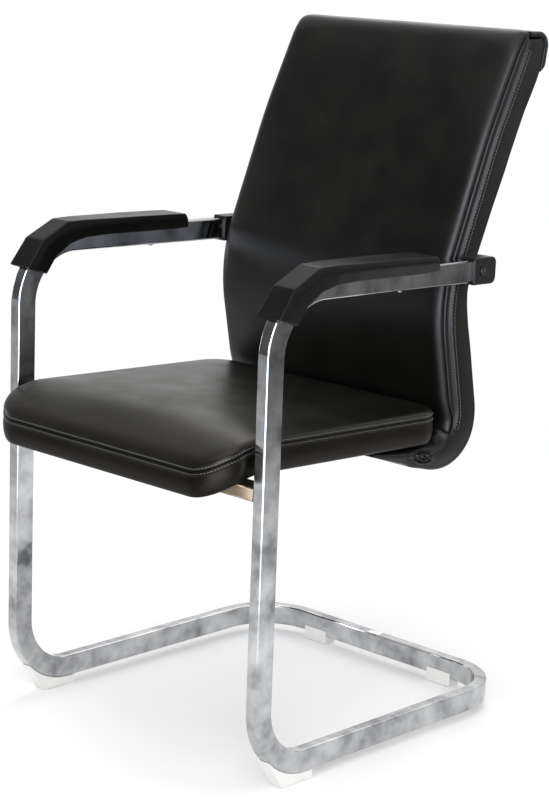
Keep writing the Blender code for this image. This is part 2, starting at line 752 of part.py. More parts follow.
def back_stations(start, end):
    """Lengths of the rings between start and end: close in the bends, wide apart where it is straight."""
    marks = np.concatenate([
        np.linspace(TOP_PADDING, LUMBAR_START, 7), np.linspace(LUMBAR_START, LUMBAR_END, 8)[1:],
        [0.5 * HEEL_START + 0.5 * LUMBAR_END], np.linspace(HEEL_START, HEEL_END, 10),
        np.linspace(HEEL_END, BACK_END, 7)[1:]])
    return [float(s) for s in marks if start + 6 * GAP < s < end - 6 * GAP]


def section(s, half_outline):
    """Closed ring across the back at s from (x, n) points of its right half, mirrored to the left."""
    point, normal = back_place(s)
    right = np.array(half_outline, float)
    outline = np.concatenate([right, right[::-1] * [-1, 1]])
    return np.column_stack([outline[:, 0], point + outline[:, 1:] * normal])


def panel_section(s, front, width):
    """Ring of the front panel: flat rear, an edge band, a groove, a round edge and a crowned face."""
    rear, x = PANEL_REAR, width
    depth = front - rear
    groove = rear + min(EDGE_BAND, 0.45 * depth)
    face = front - groove
    fade = min(1.0, max(0.0, (HEEL_START - CROWN_END - s) / CROWN_FADE)) * min(1.0, front / BACK_FRONT) ** 2
    crown = BACK_CROWN * fade
    outline = [(0.5 * x, rear), (x - PANEL_SOFTNESS, rear), (x, (rear + groove) / 2), (x - GROOVE, groove)]
    outline += [(x - PANEL_EDGE * a, groove + face * b)
                for a, b in ((0.03, 0.25), (0.17, 0.70), (0.48, 0.93), (1.0, 1.0))]
    outline += [(0.60 * x, front + 0.65 * crown), (0.20 * x, front + crown)]
    return section(s, [(a, -n) for a, n in outline])


def back_cushion():
    """Padded front panel, from the top edge down and under the seat's rear to the end of the board."""
    top, thin = -TOP_OVERLAP, PANEL_REAR + 5 * GAP
    rings = []
    for k in range(6):
        a = math.pi / 2 * k / 6
        s = top + TOP_PADDING * (1 - math.cos(a))
        front = thin + (BACK_FRONT - thin) * math.sin(a)
        rings.append(panel_section(s, front, top_width(s, top, TOP_CORNER)))
    for s in [*back_stations(top + TOP_PADDING, BOARD_END), BOARD_END]:
        rings.append(panel_section(s, front_depth(s), HALF_BACK))
    cushion = place(closed_grid("back_cushion", rings), LEATHER)
    cut(cushion, *lip_bolt_holes())
    return cushion


def top_outline(wall, rear=BACK_REAR + 2 * GAP):
    """Side outline, as (n, s) points, of the leather flap over the top, at a height over its inner face.

    It runs level from the front panel to a round corner, then leans out down to the flap's lower edge.
    """
    top = BODY_TOP - 2 * GAP - wall
    low = FLAP_TOP + FLAP_LENGTH - FLAP_SLANT * max(0.0, wall) / FLAP
    corner = rear + wall - TOP_LEAN
    return rounded_path([(-BODY_FRONT, top), (corner, top - TOP_RISE * (corner + BODY_FRONT)), (rear + wall, low)],
                        [TOP_ROUND + wall], 7)


def body_section(s, front, rear, width):
    """Ring of the back's body: flat in front, with boxing sides, round rear corners and a full rear."""
    x = width
    deep = min(REAR_ROUND, 0.6 * (rear - front))
    outline = [(0.5 * x, front), (x - PANEL_SOFTNESS, front), (x, front + 0.2 * (rear - deep - front)),
               (x, rear - deep)]
    for a in (25, 50, 72):
        a = math.radians(a)
        outline.append((x - REAR_ROUND * (1 - math.cos(a)), rear - deep * (1 - math.sin(a))))
    marks = [TOP_PADDING, TOP_PADDING + REAR_CROWN_FADE, HEEL_START - REAR_CROWN_FADE, HEEL_START]
    full = REAR_CROWN * float(np.interp(s, marks, [0, 1, 1, 0]))
    outline += [(x - REAR_ROUND, rear), (0.5 * x, rear + full)]
    return section(s, outline)


def back_body():
    """Boxing, rear face and rolled lip in one padded body, with a pocket for the board."""
    rings = []
    outline = top_outline(-2 * GAP)
    peak = int(np.argmin(outline[:, 1]))
    rise, fall = outline[:peak + 1][::-1], outline[peak:]
    highest, lowest = float(outline[peak, 1]), float(outline[-1, 1])
    for step in (0.04, 0.09, 0.16, 0.27, 0.45, 1.0):
        s = highest + (lowest - highest) * step
        front, rear = float(np.interp(s, rise[:, 1], rise[:, 0])), float(np.interp(s, fall[:, 1], fall[:, 0]))
        rings.append(body_section(s, front, rear, top_width(s, highest, BODY_CORNER)))
    lip = BOARD_END + 2 * GAP
    for s in [*back_stations(lowest, lip), lip]:
        rings.append(body_section(s, -BODY_FRONT, rear_depth(s), HALF_BACK))
    for s in [lip + GAP, *back_stations(lip, BACK_END), BACK_END]:
        rings.append(body_section(s, -front_depth(s), rear_depth(s), HALF_BACK))
    body = place(closed_grid("back_body", rings), LEATHER)
    pocket = back_ribbon("back_board_pocket", BOARD_BELOW_TOP - GAP, BOARD_END + GAP,
                         HALF_BOARD + GAP, BACK_BOARD + 2 * GAP)
    bores = [cylinder("side_bore", HOLE + GAP, 3 * BOARD_SIDE_PADDING, (side * HALF_BACK, ARM_BOLT_Y, arm_z(ARM_BOLT_Y)), "X")
             for side, _ in SIDES]
    recesses = [cylinder("head_recess", BOLT_HEAD_RADIUS + 2 * GAP, 2 * LIP_LOWER, (x, y, z + GAP - LIP_LOWER))
                for _, x, y, z in lip_bolt_places()]
    cut(body, as_cutter(pocket), *map(as_cutter, bores + recesses), *lip_bolt_holes())
    return body


def profile_to_chair():
    """Matrix that stands a flat curve's X and Y up as the chair's Y and Z."""
    return Matrix(((0, 0, 1, 0), (1, 0, 0, 0), (0, 1, 0, 0), (0, 0, 0, 1)))


def back_ribbon(name, start, end, half_width, thickness):
    """Sheet along the back's middle line from start to end, with its thickness."""
    between = [s + PANEL_SOFTNESS for s in back_stations(start, end - PANEL_SOFTNESS)]
    points, _ = back_place(np.array([start, *between, end]))
    sheet = poly_curve(name, points, flat=True)
    sheet.data.extrude = half_width
    sheet.matrix_world = profile_to_chair()
    obj = bpy.data.objects.new(name, evaluated_mesh(sheet, name))
    solidify(obj, thickness, 0)
    return obj


def back_board():
    """Bent plywood sheet that carries the padding and curves under the seat."""
    board = place(back_ribbon("back_board", BOARD_BELOW_TOP, BOARD_END, HALF_BOARD, BACK_BOARD), PLYWOOD)
    pockets = [
        cylinder("insert_hole", INSERT_RADIUS + GAP, 2 * (INSERT_LENGTH + GAP),
                 (side * HALF_BOARD, ARM_BOLT_Y, arm_z(ARM_BOLT_Y)), "X") for side, _ in SIDES]
    cut(board, *map(as_cutter, pockets), *lip_bolt_holes())
    return board


def drawn_in(x):
    """How far the back's round rear edge has drawn in at a place x across it."""
    return REAR_ROUND * (1 - math.sqrt(1 - max(0.0, (x - HALF_BACK) / REAR_ROUND + 1) ** 2))


def back_top_roll():
    """Leather flap that lies over the top edge and a little way down the rear, round its two corners."""
    corner_x = HALF_BACK - REAR_ROUND
    turn = REAR_ROUND * np.sin(np.radians([18, 40, 65, 78]))
    rings = []
    for x in [0.0, 0.55 * corner_x, corner_x, *(corner_x + turn)]:
        rear = BACK_REAR + 2 * GAP - drawn_in(x)
        ring = np.concatenate([top_outline(FLAP, rear), top_outline(0.0, rear)[::-1]])
        point, normal = back_place(ring[:, 1])
        rings.append(np.column_stack([np.full(len(ring), x), point + ring[:, :1] * normal]))
    rings = [ring * [-1, 1, 1] for ring in rings[:0:-1]] + rings
    return place(closed_grid("back_top_roll", rings), LEATHER)


def rearmost():
    """The furthest back that the chair reaches: the round of the flap over the top edge."""
    outline = top_outline(FLAP)
    point, normal = back_place(outline[:, 1])
    return float((point + outline[:, :1] * normal)[:, 0].max())


# Arms


def arm_run(s):
    """Place and upward normal on the arm's centreline, s metres behind the end of its front bend.

    A negative s lies in the bend, which turns down into the leg.
    """
    slope = math.atan(ARM_DROP)
    along, up = np.array([math.cos(slope), -math.sin(slope)]), np.array([math.sin(slope), math.cos(slope)])
    reach = BEND_RADIUS * math.tan((math.pi / 2 + slope) / 2)
    start = np.array([0.0, ARM_HEIGHT]) + along * reach
    if s >= 0:
        return start + along * s, up
    centre = start - up * BEND_RADIUS
    turn = -s / BEND_RADIUS
    normal = up * math.cos(turn) - along * math.sin(turn)
    return centre + normal * BEND_RADIUS, normal


def arm_pad(side, label):
    """Moulded pad in flat facets, with a channel over the tube and round the front bend.

    Each row of PAD_EDGES is an edge between two facets: its place along the arm, its height over the tube
    and half its width on the outer side, then the place and the depth beside the tube where its skirt ends.
    """
    skirt_x = TUBE_THICKNESS / 2 + GAP + PAD_WALL
    rings = []
    for outer_run, rise, half, skirt_run, skirt in PAD_EDGES:
        point, normal = arm_run(outer_run)
        outer = point + normal * (TUBE_DEPTH / 2 + rise)
        point, normal = arm_run(skirt_run)
        lower = point + normal * (TUBE_DEPTH / 2 - skirt)
        shoulder = 0.35 * lower + 0.65 * outer
        ring = [(-skirt_x, lower), (skirt_x, lower), (half + PAD_SHOULDER, shoulder), (half, outer),
                (-half, outer), (-half - PAD_SHOULDER, shoulder)]
        rings.append([(side * HALF_FRAME + x, *yz) for x, yz in ring])
    pad = place(closed_grid("arm_pad_" + label, rings), BLACK_PLASTIC)
    bevel(pad, PAD_EDGE, 1, 14)
    x, z = side * HALF_FRAME, arm_z(PAD_SCREW_Y)
    cut(pad, clearance_tube("pad_channel_" + label, side),
        as_cutter(cylinder("pad_bore", SCREW_HOLE, TUBE_DEPTH + 2 * (PAD_SCREW_GRIP + GAP), (x, PAD_SCREW_Y, z))))
    return pad


def arm_cap(side, label):
    """Moulded cap over the tube's rear end, rounded behind, with the bolt through it."""
    size = (CAP_OUTER - CAP_INNER, CAP_LENGTH, TUBE_DEPTH + 2 * (GAP + CAP_WALL))
    y = ARM_LENGTH + CAP_END - CAP_LENGTH / 2
    block = box("arm_cap_" + label, size, (side * HALF_FRAME, y, arm_z(y)))
    block.rotation_euler = (-math.atan(ARM_DROP), 0, 0)
    round_rear_edges(block, CAP_LENGTH / 2, CAP_ROUND)
    cap = place(block, BLACK_PLASTIC)
    bevel(cap, CAP_EDGE, 1)
    place_of_bolt = (side * HALF_FRAME, ARM_BOLT_Y, arm_z(ARM_BOLT_Y))
    head_seat = (side * CAP_OUTER, ARM_BOLT_Y, arm_z(ARM_BOLT_Y))
    cut(cap, clearance_tube("cap_socket_" + label, side),
        as_cutter(cylinder("cap_bore", HOLE, 3 * TUBE_THICKNESS, place_of_bolt, "X")),
        as_cutter(cylinder("cap_recess", BOLT_HEAD_RADIUS + 2 * GAP, 2 * CAP_RECESS, head_seat, "X", sides=16)))
    smooth(cap.data)
    return cap


def round_rear_edges(obj, y, radius):
    """Round the upright and level edges of a block's rear end with a bmesh bevel."""
    bm = bmesh.new()
    bm.from_mesh(obj.data)
    edges = [e for e in bm.edges if all(abs(v.co.y - y) < 1e-6 for v in e.verts)]
    bmesh.ops.bevel(bm, geom=edges, offset=radius, segments=3, profile=0.5, affect="EDGES")
    bm.to_mesh(obj.data)
    bm.free()


def arm_spacer():
    """Bush between each cap and the side of the back."""
    mesh = turned("arm_spacer", [
        (HOLE, SPACER_LENGTH), (SPACER_RADIUS, SPACER_LENGTH), (SPACER_RADIUS, 0), (HOLE, 0)], closed=True, sides=16)
    repeat(mesh, BLACK_PLASTIC, [
        ("arm_spacer_" + label, (side * (HALF_BACK + GAP), ARM_BOLT_Y, arm_z(ARM_BOLT_Y)),
         (0, side * math.pi / 2, 0)) for side, label in SIDES])


def threaded_insert():
    """Sleeve in each edge of the back board that takes the arm's bolt."""
    mesh = turned("threaded_insert", [
        (HOLE, 0), (INSERT_RADIUS, 0), (INSERT_RADIUS, -INSERT_LENGTH), (HOLE, -INSERT_LENGTH)], closed=True)
    repeat(mesh, ZINC, [
        ("threaded_insert_" + label, (side * HALF_BOARD, ARM_BOLT_Y, arm_z(ARM_BOLT_Y)),
         (0, side * math.pi / 2, 0)) for side, label in SIDES])


def lip_bolt_places():
    """Name and seat of each bolt under the lip, its head sunk to the level of the leather."""
    s = lip_run(LIP_BOLT_Y)
    point, normal = back_place(s)
    z = float(point[1]) - rear_depth(s) / abs(float(normal[1])) + BOLT_HEAD + 2 * GAP
    return [(name, x, y, z) for name, x, y in seat_nut_places() if name.startswith("lip")]


def lip_bolt_holes():
    """Upright bores through the lip and everything in it."""
    return [as_cutter(cylinder("lip_bore", HOLE + GAP, 3 * LIP_LOWER, (x, y, z + LIP_LOWER / 2), sides=8))
            for _, x, y, z in lip_bolt_places()]


def bolts():
    """Bolts through the arms into the back, through the crossbar, and through the lip."""
    outside = CAP_OUTER - CAP_RECESS + GAP
    arm = fastener("arm_bolt", BOLT_RADIUS, outside - HALF_BOARD + 0.9 * INSERT_LENGTH, BOLT_HEAD_RADIUS, BOLT_HEAD)
    repeat(arm, ZINC, [
        ("arm_bolt_" + label, (side * outside, ARM_BOLT_Y, arm_z(ARM_BOLT_Y)), (0, side * math.pi / 2, 0))
        for side, label in SIDES])
    upright = (math.pi, 0, 0)
    under = BAR_BOTTOM - GAP
    saddle = fastener("saddle_bolt", BOLT_RADIUS, nut_seat_z(0.0) + NUT_FLANGE - under, BOLT_HEAD_RADIUS, BOLT_HEAD)
    repeat(saddle, ZINC, [("saddle_bolt_" + label, (side * SADDLE_X, 0, under), upright) for side, label in SIDES])
    places = lip_bolt_places()
    z = places[0][3]
    lip = fastener("lip_bolt", BOLT_RADIUS, nut_seat_z(LIP_BOLT_Y) + NUT_FLANGE - z, BOLT_HEAD_RADIUS, BOLT_HEAD)
    repeat(lip, ZINC, [(name.replace("lip", "lip_bolt"), (x, y, z), upright) for name, x, y, z in places])


# Glides and the small screws


def front_glide(side, label):
    """Wedge that fills the front of the bottom bend down to the floor, with a recess for its screw."""
    centre_z, reach = TUBE_Z + BEND_RADIUS, BEND_RADIUS + TUBE_DEPTH / 2 + GAP
    bend = [math.radians(a) for a in np.linspace(0, GLIDE_ANGLE, 7)]
    seat = [(BEND_RADIUS - reach * math.sin(a), centre_z - reach * math.cos(a)) for a in bend]
    tip = (BEND_RADIUS - (reach + GLIDE_TIP) * math.sin(bend[-1]), centre_z - (reach + GLIDE_TIP) * math.cos(bend[-1]))
    heel = BEND_RADIUS + GLIDE_HEEL
    outline = [(heel, 0.0), (heel, seat[0][1]), *seat, tip, (BEND_RADIUS - GLIDE_TOE, 0.0)]
    name = "front_glide_" + label
    solid = poly_curve(name, outline, closed=True, flat=True)
    solid.data.fill_mode = "BOTH"
    solid.data.extrude = TUBE_THICKNESS / 2 + GLIDE_OVERHANG
    solid.matrix_world = Matrix.Translation((side * HALF_FRAME, 0, 0)) @ profile_to_chair()
    glide = place(bpy.data.objects.new(name, evaluated_mesh(solid, name)), WHITE_PLASTIC)
    bevel(glide, 0.0008, 1, 50)
    cut(glide, *glide_bores(side * HALF_FRAME, BEND_RADIUS))
    return glide


def rear_glide(side, label):
    """Clip under the rear rail, with low cheeks on both sides of the tube."""
    width = TUBE_THICKNESS + 2 * (GAP + CLIP_WALL)
    height = GLIDE_HEIGHT + CLIP_CHEEK
    clip = box("rear_glide_" + label, (CLIP_LENGTH, width, height), (side * CLIP_X, BASE_LENGTH, height / 2))
    place(clip, WHITE_PLASTIC)
    bevel(clip, 0.001, 1)
    cut(clip, clearance_tube("clip_channel_" + label, side), *glide_bores(side * CLIP_X, BASE_LENGTH))
    return clip


def glide_bores(x, y):
    """Bore and head recess for a screw from below."""
    return [as_cutter(cylinder("glide_bore", SCREW_HOLE, 0.06, (x, y, 0), sides=8)),
            as_cutter(cylinder("glide_recess", SCREW_HEAD_RADIUS + 2 * GAP, 2 * SCREW_RECESS, (x, y, 0)))]


def screws():
    """Screws up into the rails through the glides, and up through the arms into the pads."""
    upright = (math.pi, 0, 0)
    seat = SCREW_RECESS - GAP
    glide = fastener("glide_screw", SCREW_RADIUS, 0.0145, SCREW_HEAD_RADIUS, SCREW_HEAD)
    under = arm_z(PAD_SCREW_Y) - TUBE_DEPTH / 2 - 2 * GAP
    pad = fastener("pad_screw", SCREW_RADIUS, TUBE_DEPTH + PAD_SCREW_GRIP, SCREW_HEAD_RADIUS, SCREW_HEAD)
    for side, label in SIDES:
        repeat(glide, ZINC, [
            ("front_glide_screw_" + label, (side * HALF_FRAME, BEND_RADIUS, seat), upright),
            ("rear_glide_screw_" + label, (side * CLIP_X, BASE_LENGTH, seat), upright)])
        repeat(pad, ZINC, [("arm_pad_screw_" + label, (side * HALF_FRAME, PAD_SCREW_Y, under), upright)])


def main():
    for side, label in SIDES:
        frame_tube(side, label)
        seat_saddle(side, label)
        arm_pad(side, label)
        arm_cap(side, label)
        front_glide(side, label)
        rear_glide(side, label)
    rear_rail_splice()
    seat_crossbar()
    seat_cushion()
    seat_board()
    seat_dust_cover()
    seat_t_nuts()
    back_cushion()
    back_body()
    back_board()
    back_top_roll()
    arm_spacer()
    threaded_insert()
    bolts()
    screws()
    ORIGIN.location = (0, -(SEAT_FRONT + rearmost()) / 2, 0)


main()
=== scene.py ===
"""Looks of a cantilever visitor chair: sewn leather on a bent chromed tube, with moulded arm pads.

Metres, +Z up, the floor at Z = 0, the sitter facing -Y. Lengths along Y are counted from the front legs'
centreline, as the chair's own drawing has them, and `surface` carries them into the frame with leg_y.
"""
import json
import math

import bmesh
import bpy
import numpy as np
from mathutils import Matrix, Vector

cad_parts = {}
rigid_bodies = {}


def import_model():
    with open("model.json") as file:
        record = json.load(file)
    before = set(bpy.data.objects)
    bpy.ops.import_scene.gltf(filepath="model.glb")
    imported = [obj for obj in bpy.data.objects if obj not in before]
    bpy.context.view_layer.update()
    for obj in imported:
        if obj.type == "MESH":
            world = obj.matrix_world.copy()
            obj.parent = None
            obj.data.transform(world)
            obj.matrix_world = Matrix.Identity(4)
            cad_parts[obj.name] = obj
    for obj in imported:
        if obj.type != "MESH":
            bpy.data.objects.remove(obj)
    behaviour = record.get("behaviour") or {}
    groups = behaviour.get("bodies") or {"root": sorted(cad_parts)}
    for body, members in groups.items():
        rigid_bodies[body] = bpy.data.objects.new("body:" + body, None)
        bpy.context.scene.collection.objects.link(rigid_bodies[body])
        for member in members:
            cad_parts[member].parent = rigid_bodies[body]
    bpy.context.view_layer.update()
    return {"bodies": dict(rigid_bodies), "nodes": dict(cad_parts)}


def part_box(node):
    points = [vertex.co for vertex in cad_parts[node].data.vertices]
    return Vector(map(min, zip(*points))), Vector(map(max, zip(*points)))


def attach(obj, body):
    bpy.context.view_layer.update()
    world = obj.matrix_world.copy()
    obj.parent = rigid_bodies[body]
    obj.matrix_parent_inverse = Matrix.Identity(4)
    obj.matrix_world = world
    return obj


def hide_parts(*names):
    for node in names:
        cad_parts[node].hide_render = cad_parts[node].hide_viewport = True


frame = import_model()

nodes = frame["nodes"]
body = next(iter(frame["bodies"]))
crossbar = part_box("seat_crossbar")
leg_y = (crossbar[0].y + crossbar[1].y) / 2

SIDES = ((1, "left"), (-1, "right"))

# The tube frame
TUBE_DEPTH = 0.032
TUBE_THICKNESS = 0.019
TUBE_CORNER = 0.0028
HALF_FRAME = 0.2485
LEG_INNER = 0.239
BEND_RADIUS = 0.088
RAIL_Z = 0.028
BASE_LENGTH = 0.532
ARM_HEIGHT = 0.6812
ARM_DROP = 0.0185
ARM_BOLT_Y = 0.40832
ARM_LENGTH = 0.430
BAR_Z = 0.4150
BOLT = (0.003, 0.0033)  # half a shank, and how deep its head is
SCREW = (0.002, 0.0024)
PLAY = 0.0003

# Arm pads: each row is an edge between two facets, as its place along the arm, its height over the tube and
# half its width there, then the place and the depth beside the tube where the skirt ends
PAD_EDGES = (
    (-0.0931, 0.0085, 0.0212, -0.0830, 0.0300), (-0.0571, 0.0131, 0.0195, -0.0500, 0.0235),
    (-0.0165, 0.0160, 0.0192, -0.0165, 0.0175), (0.012, 0.0150, 0.0212, 0.012, 0.0120),
    (0.050, 0.0148, 0.0228, 0.050, 0.0100), (0.110, 0.0150, 0.0242, 0.110, 0.0100),
    (0.185, 0.0144, 0.0245, 0.190, 0.0098), (0.206, 0.0138, 0.0240, 0.219, 0.0085))
PAD_WALL = 0.0082
PAD_FACET_CUT = 0.0024
PAD_CORNER_CUTS = (0.0, 0.0002, 0.0010, 0.0014, 0.0035, 0.0022, 0.0022, 0.0035, 0.0014, 0.0010, 0.0002)
PAD_END_ROUND = 0.0026
PAD_SHOULDER = 0.0012
CAP_INNER = 0.2357
CAP_OUTER = 0.2613
CAP_LENGTH = 0.048
CAP_END = 0.008
CAP_WALL = 0.003
CAP_CORNER_CUTS = (0.0020, 0.0105, 0.0105, 0.0020)
CAP_EDGE = 0.0016
CAP_DISH = ((0.0098, 0.0), (0.0082, 0.0002), (0.0072, 0.0009), (0.0066, 0.0010))  # radius, depth

# The seat
HALF_SEAT = 0.231
SEAT_FRONT = -0.0765
SEAT_REAR = 0.385
SEAT_SEAM_Z = 0.4754
BOXING_HEIGHT = 0.040
SEAT_CROWN = 0.009
FRONT_CORNER = 0.0525
REAR_CORNER = 0.050
WATERFALL_START = 0.012
WATERFALL_DROP = 0.0305
SEAT_SLOPE = 0.0325
BOARD_INSET = 0.0157

# The back: a side profile of straight runs and arcs, from the top edge down to the lip under the seat
BACK_CORNERS = ((0.5465, 0.9900), (0.4780, 0.8510), (0.3904, 0.6291), (0.4370, 0.3962), (0.2480, 0.4222))
BACK_RADII = (0.80, 0.20, 0.051)
HALF_BACK = 0.2205
PANEL_REAR = 0.0078
PANEL_FRONT = 0.0325
EDGE_BAND = 0.011
BODY_FRONT = 0.0073
TOP_OVERLAP = 0.0089
TOP_CORNER = 0.015
TOP_PADDING = 0.045
BOARD_END_Y = 0.325
ROLL_END_Y = 0.333
LIP_STEP_RUN = 0.012
REAR_ROUND = 0.006
BODY_CORNER = 0.0012
REAR_CROWN = 0.0025
FLAP_EDGE_ROUND = 0.0012
REAR_CREASE = (0.0010, 0.0140, 0.0007)  # depth, inset from the side, spread
REAR_WELT = (0.0004, 0.0175, 0.0022)
REAR_SEAM = 0.0185
RIDGE = 0.0009
SIDE_TURN = 0.0026
BACK_REAR = 0.0372
REAR_DEPTHS = (
    (0.08, 0.0381), (0.14, 0.0403), (0.24, 0.0416), (0.34, 0.0416), (0.44, 0.0381), (0.54, 0.0362),
    (0.68, 0.0338), (0.76, 0.0392), (0.85, 0.0413), (1.0, 0.0417))
HEEL_DEPTHS = ((0.32, 0.0438), (0.48, 0.0397), (0.64, 0.0337), (0.82, 0.0260))
LIP_DEPTHS = (0.0216, 0.0187, 0.0130, 0.0030)
FLAP = 0.0085
FLAP_LENGTH = 0.042
FLAP_SLANT = 0.017
FLAP_ROUND = 0.0048
FLAP_OVERHANG = 0.0006
TOP_ROUND = 0.0125
TOP_RISE = 0.50
TOP_LEAN = 0.0135

# Sewing
SEAM_ROWS = ((0.0005, 0.0034, 0.25), (0.0000, -0.0035, -0.10))  # inset, height over the seam, upward tilt
RIDGE_ROWS = ((-0.0004, 0.0022, 0.90), (0.0040, 0.0007, 0.80))  # depth, inset, share of the ridge's height
STITCH = 0.0034
STITCH_PITCH = 0.0048
THREAD = 0.00046
PUCKER = (0.3470, 0.4062)
PUCKER_SIZE = (0.0330, 0.0122)

# The filling's push, and the leather it stretches
SWELL = 0.0075
HELD_REACH = 0.0004
CLOTH_STEPS = 20
CLOTH_SETTINGS = (("quality", 5), ("mass", 0.3), ("tension_stiffness", 15), ("compression_stiffness", 15),
                  ("shear_stiffness", 5), ("bending_stiffness", 0.5), ("uniform_pressure_force", 4.0))


# Shapes


def lengths_along(path):
    """How far each point lies along a path: the running sum of its steps."""
    return np.concatenate([[0], np.cumsum(np.linalg.norm(np.diff(path, axis=0), axis=1))])


def unit(vectors):
    """Vectors in the same directions, each one metre long."""
    return vectors / (np.linalg.norm(vectors, axis=-1, keepdims=True) + 1e-12)


def in_steps(path, count):
    """The same path in `count` even steps: each coordinate read off against the length run so far."""
    run = lengths_along(path[:, :3])
    at = np.linspace(0, run[-1], count + 1)
    return np.stack([np.interp(at, run, path[:, k]) for k in range(path.shape[1])], -1)


def arc_corner(before, corner, after, radius, steps):
    """Points on the arc that rounds a corner: the start and end radii blended by sines of the turn."""
    u, v = unit(before - corner), unit(after - corner)
    angle = math.acos(float(np.clip(u @ v, -1, 1)))
    centre = corner + unit(u + v) * radius / math.sin(angle / 2)
    start = corner + u * radius / math.tan(angle / 2) - centre
    end = corner + v * radius / math.tan(angle / 2) - centre
    turn = math.pi - angle
    t = np.linspace(0, 1, steps + 1)[:, None]
    return centre + (start * np.sin(turn * (1 - t)) + end * np.sin(turn * t)) / math.sin(turn)


def rounded_path(corners, radii, steps=32):
    """Path through corners, each inner one turned into an arc of its own radius."""
    corners = [np.array(c, float) for c in corners]
    arcs = [arc_corner(a, b, c, r, steps) for a, b, c, r in zip(corners, corners[1:], corners[2:], radii)]
    return np.concatenate([corners[:1], *arcs, corners[-1:]])


def through(points, steps=4):
    """Smooth curve through points: between two of them, the cubic that their outer neighbours also steer."""
    p = np.array(points, float)
    p = np.concatenate([2 * p[:1] - p[1:2], p, 2 * p[-1:] - p[-2:-1]])
    a, b, c, d = (p[k:len(p) - 3 + k, None] for k in range(4))
    t = np.linspace(0, 1, steps, endpoint=False)[None, :, None]
    curve = b + ((c - a) * t + (2 * a - 5 * b + 4 * c - d) * t ** 2 + (3 * b - 3 * c + d - a) * t ** 3) / 2
    return np.concatenate([curve.reshape(-1, p.shape[1]), p[-2:-1]])


def blunted(points, cut, steps=4, closed=True):
    """Corners along axis 0 cut back by `cut` on both sides, and each joined again by a parabola."""
    ways = [np.roll(points, 1, 0) - points, np.roll(points, -1, 0) - points]
    start, end = (points + way * np.minimum(cut / (np.linalg.norm(way, axis=-1, keepdims=True) + 1e-9), 0.48)
                  for way in ways)
    t = np.linspace(0, 1, steps + 1).reshape((1, -1) + (1,) * (points.ndim - 1))
    curve = (1 - t) ** 2 * start[:, None] + 2 * t * (1 - t) * points[:, None] + t ** 2 * end[:, None]
    if closed:
        return curve.reshape(-1, *points.shape[1:])
    return np.concatenate([points[:1], curve[1:-1].reshape(-1, *points.shape[1:]), points[-1:]])


def rounded_rectangle(width, height, corner, steps=6):
    """Outline of a rectangle with round corners, anticlockwise: corner centres plus a turning radius."""
    a = np.radians(90 * (np.arange(4)[:, None] + np.linspace(0, 1, steps + 1)[None]))
    centre = np.array([(1, 1), (-1, 1), (-1, -1), (1, -1)]) * (width / 2 - corner, height / 2 - corner)
    points = centre[:, None] + corner * np.stack([np.cos(a), np.sin(a)], -1)
    return points.reshape(-1, 2)


def eased(s, marks, values, reach=0.010):
    """Values joined by straight lines between marks, then averaged over a reach to both sides of s."""
    near = np.asarray(s, float)[..., None] + np.linspace(-reach, reach, 9)
    return np.interp(near, marks, values).mean(-1)


def smooth_step(x):
    """0 below 0 and 1 above 1, with a level start and end in between."""
    x = np.clip(x, 0, 1)
    return x * x * (3 - 2 * x)


def bell(at, height, middle, spread):
    """Hump about a middle: the height times e to minus the square of the distance over the spread."""
    return height * np.exp(-((at - middle) / spread) ** 2)


def inward(ring):
    """Unit vectors that point into a flat closed ring of points, across its own edge and in its plane."""
    turn = np.cross(ring - ring.mean(0), np.roll(ring, -1, 0) - ring.mean(0)).sum(0)
    return np.cross(unit(turn), unit(np.roll(ring, -1, 0) - np.roll(ring, 1, 0)))


def round_ended(rows, fillet, start=True, end=True, steps=4):
    """Rings of a closed shape with its end edges rounded: a quarter turn in from the wall to the end face."""
    a = np.radians(np.linspace(0, 90, steps + 1))[:, None, None]

    def turned_in(edge, next_ring):
        return edge + fillet * ((1 - np.sin(a)) * unit(next_ring - edge) + (1 - np.cos(a)) * inward(edge))

    first = turned_in(rows[0], rows[1])[::-1] if start else rows[:1]
    last = turned_in(rows[-1], rows[-2]) if end else rows[-1:]
    return np.concatenate([first, rows[1:-1], last])


def mirrored(half):
    """Whole rings from their right halves, which start and end on the middle plane."""
    return np.concatenate([half, (half * (-1, 1, 1))[:, -2:0:-1]], 1)


def quads(index, joined=True):
    """Four-sided faces between neighbours in a grid of point numbers; a joined row closes on itself."""
    if joined:
        index = np.concatenate([index, index[:, :1]], 1)
    return np.stack([index[:-1, :-1], index[:-1, 1:], index[1:, 1:], index[1:, :-1]], -1).reshape(-1, 4)


def surface(name, *grids, caps=True):
    """Mesh of grids of points, merged where they meet, with its faces outward.

    Each grid is (points, joined): its rows are strips of four-sided faces, and a joined row closes on itself.
    `caps` fills the first and last row of a single joined grid.
    """
    corners, faces, first = [], [], 0
    for points, joined in grids:
        rows, columns = points.shape[:2]
        index = first + np.arange(rows * columns).reshape(rows, columns)
        first += rows * columns
        faces += quads(index, joined).tolist()
        if caps and joined and len(grids) == 1:
            faces += [index[0, ::-1].tolist(), index[-1].tolist()]
        corners.append(points.reshape(-1, 3))
    mesh = bpy.data.meshes.new(name)
    mesh.from_pydata(np.concatenate(corners) + (0, leg_y, 0), [], faces)
    bm = bmesh.new()
    bm.from_mesh(mesh)
    bmesh.ops.remove_doubles(bm, verts=bm.verts, dist=0.00001)
    bmesh.ops.recalc_face_normals(bm, faces=bm.faces)
    bm.to_mesh(mesh)
    bm.free()
    mesh.shade_smooth()
    return mesh


def placed(name, data):
    """New object for the data, in the scene."""
    obj = bpy.data.objects.new(name, data)
    bpy.context.scene.collection.objects.link(obj)
    return obj


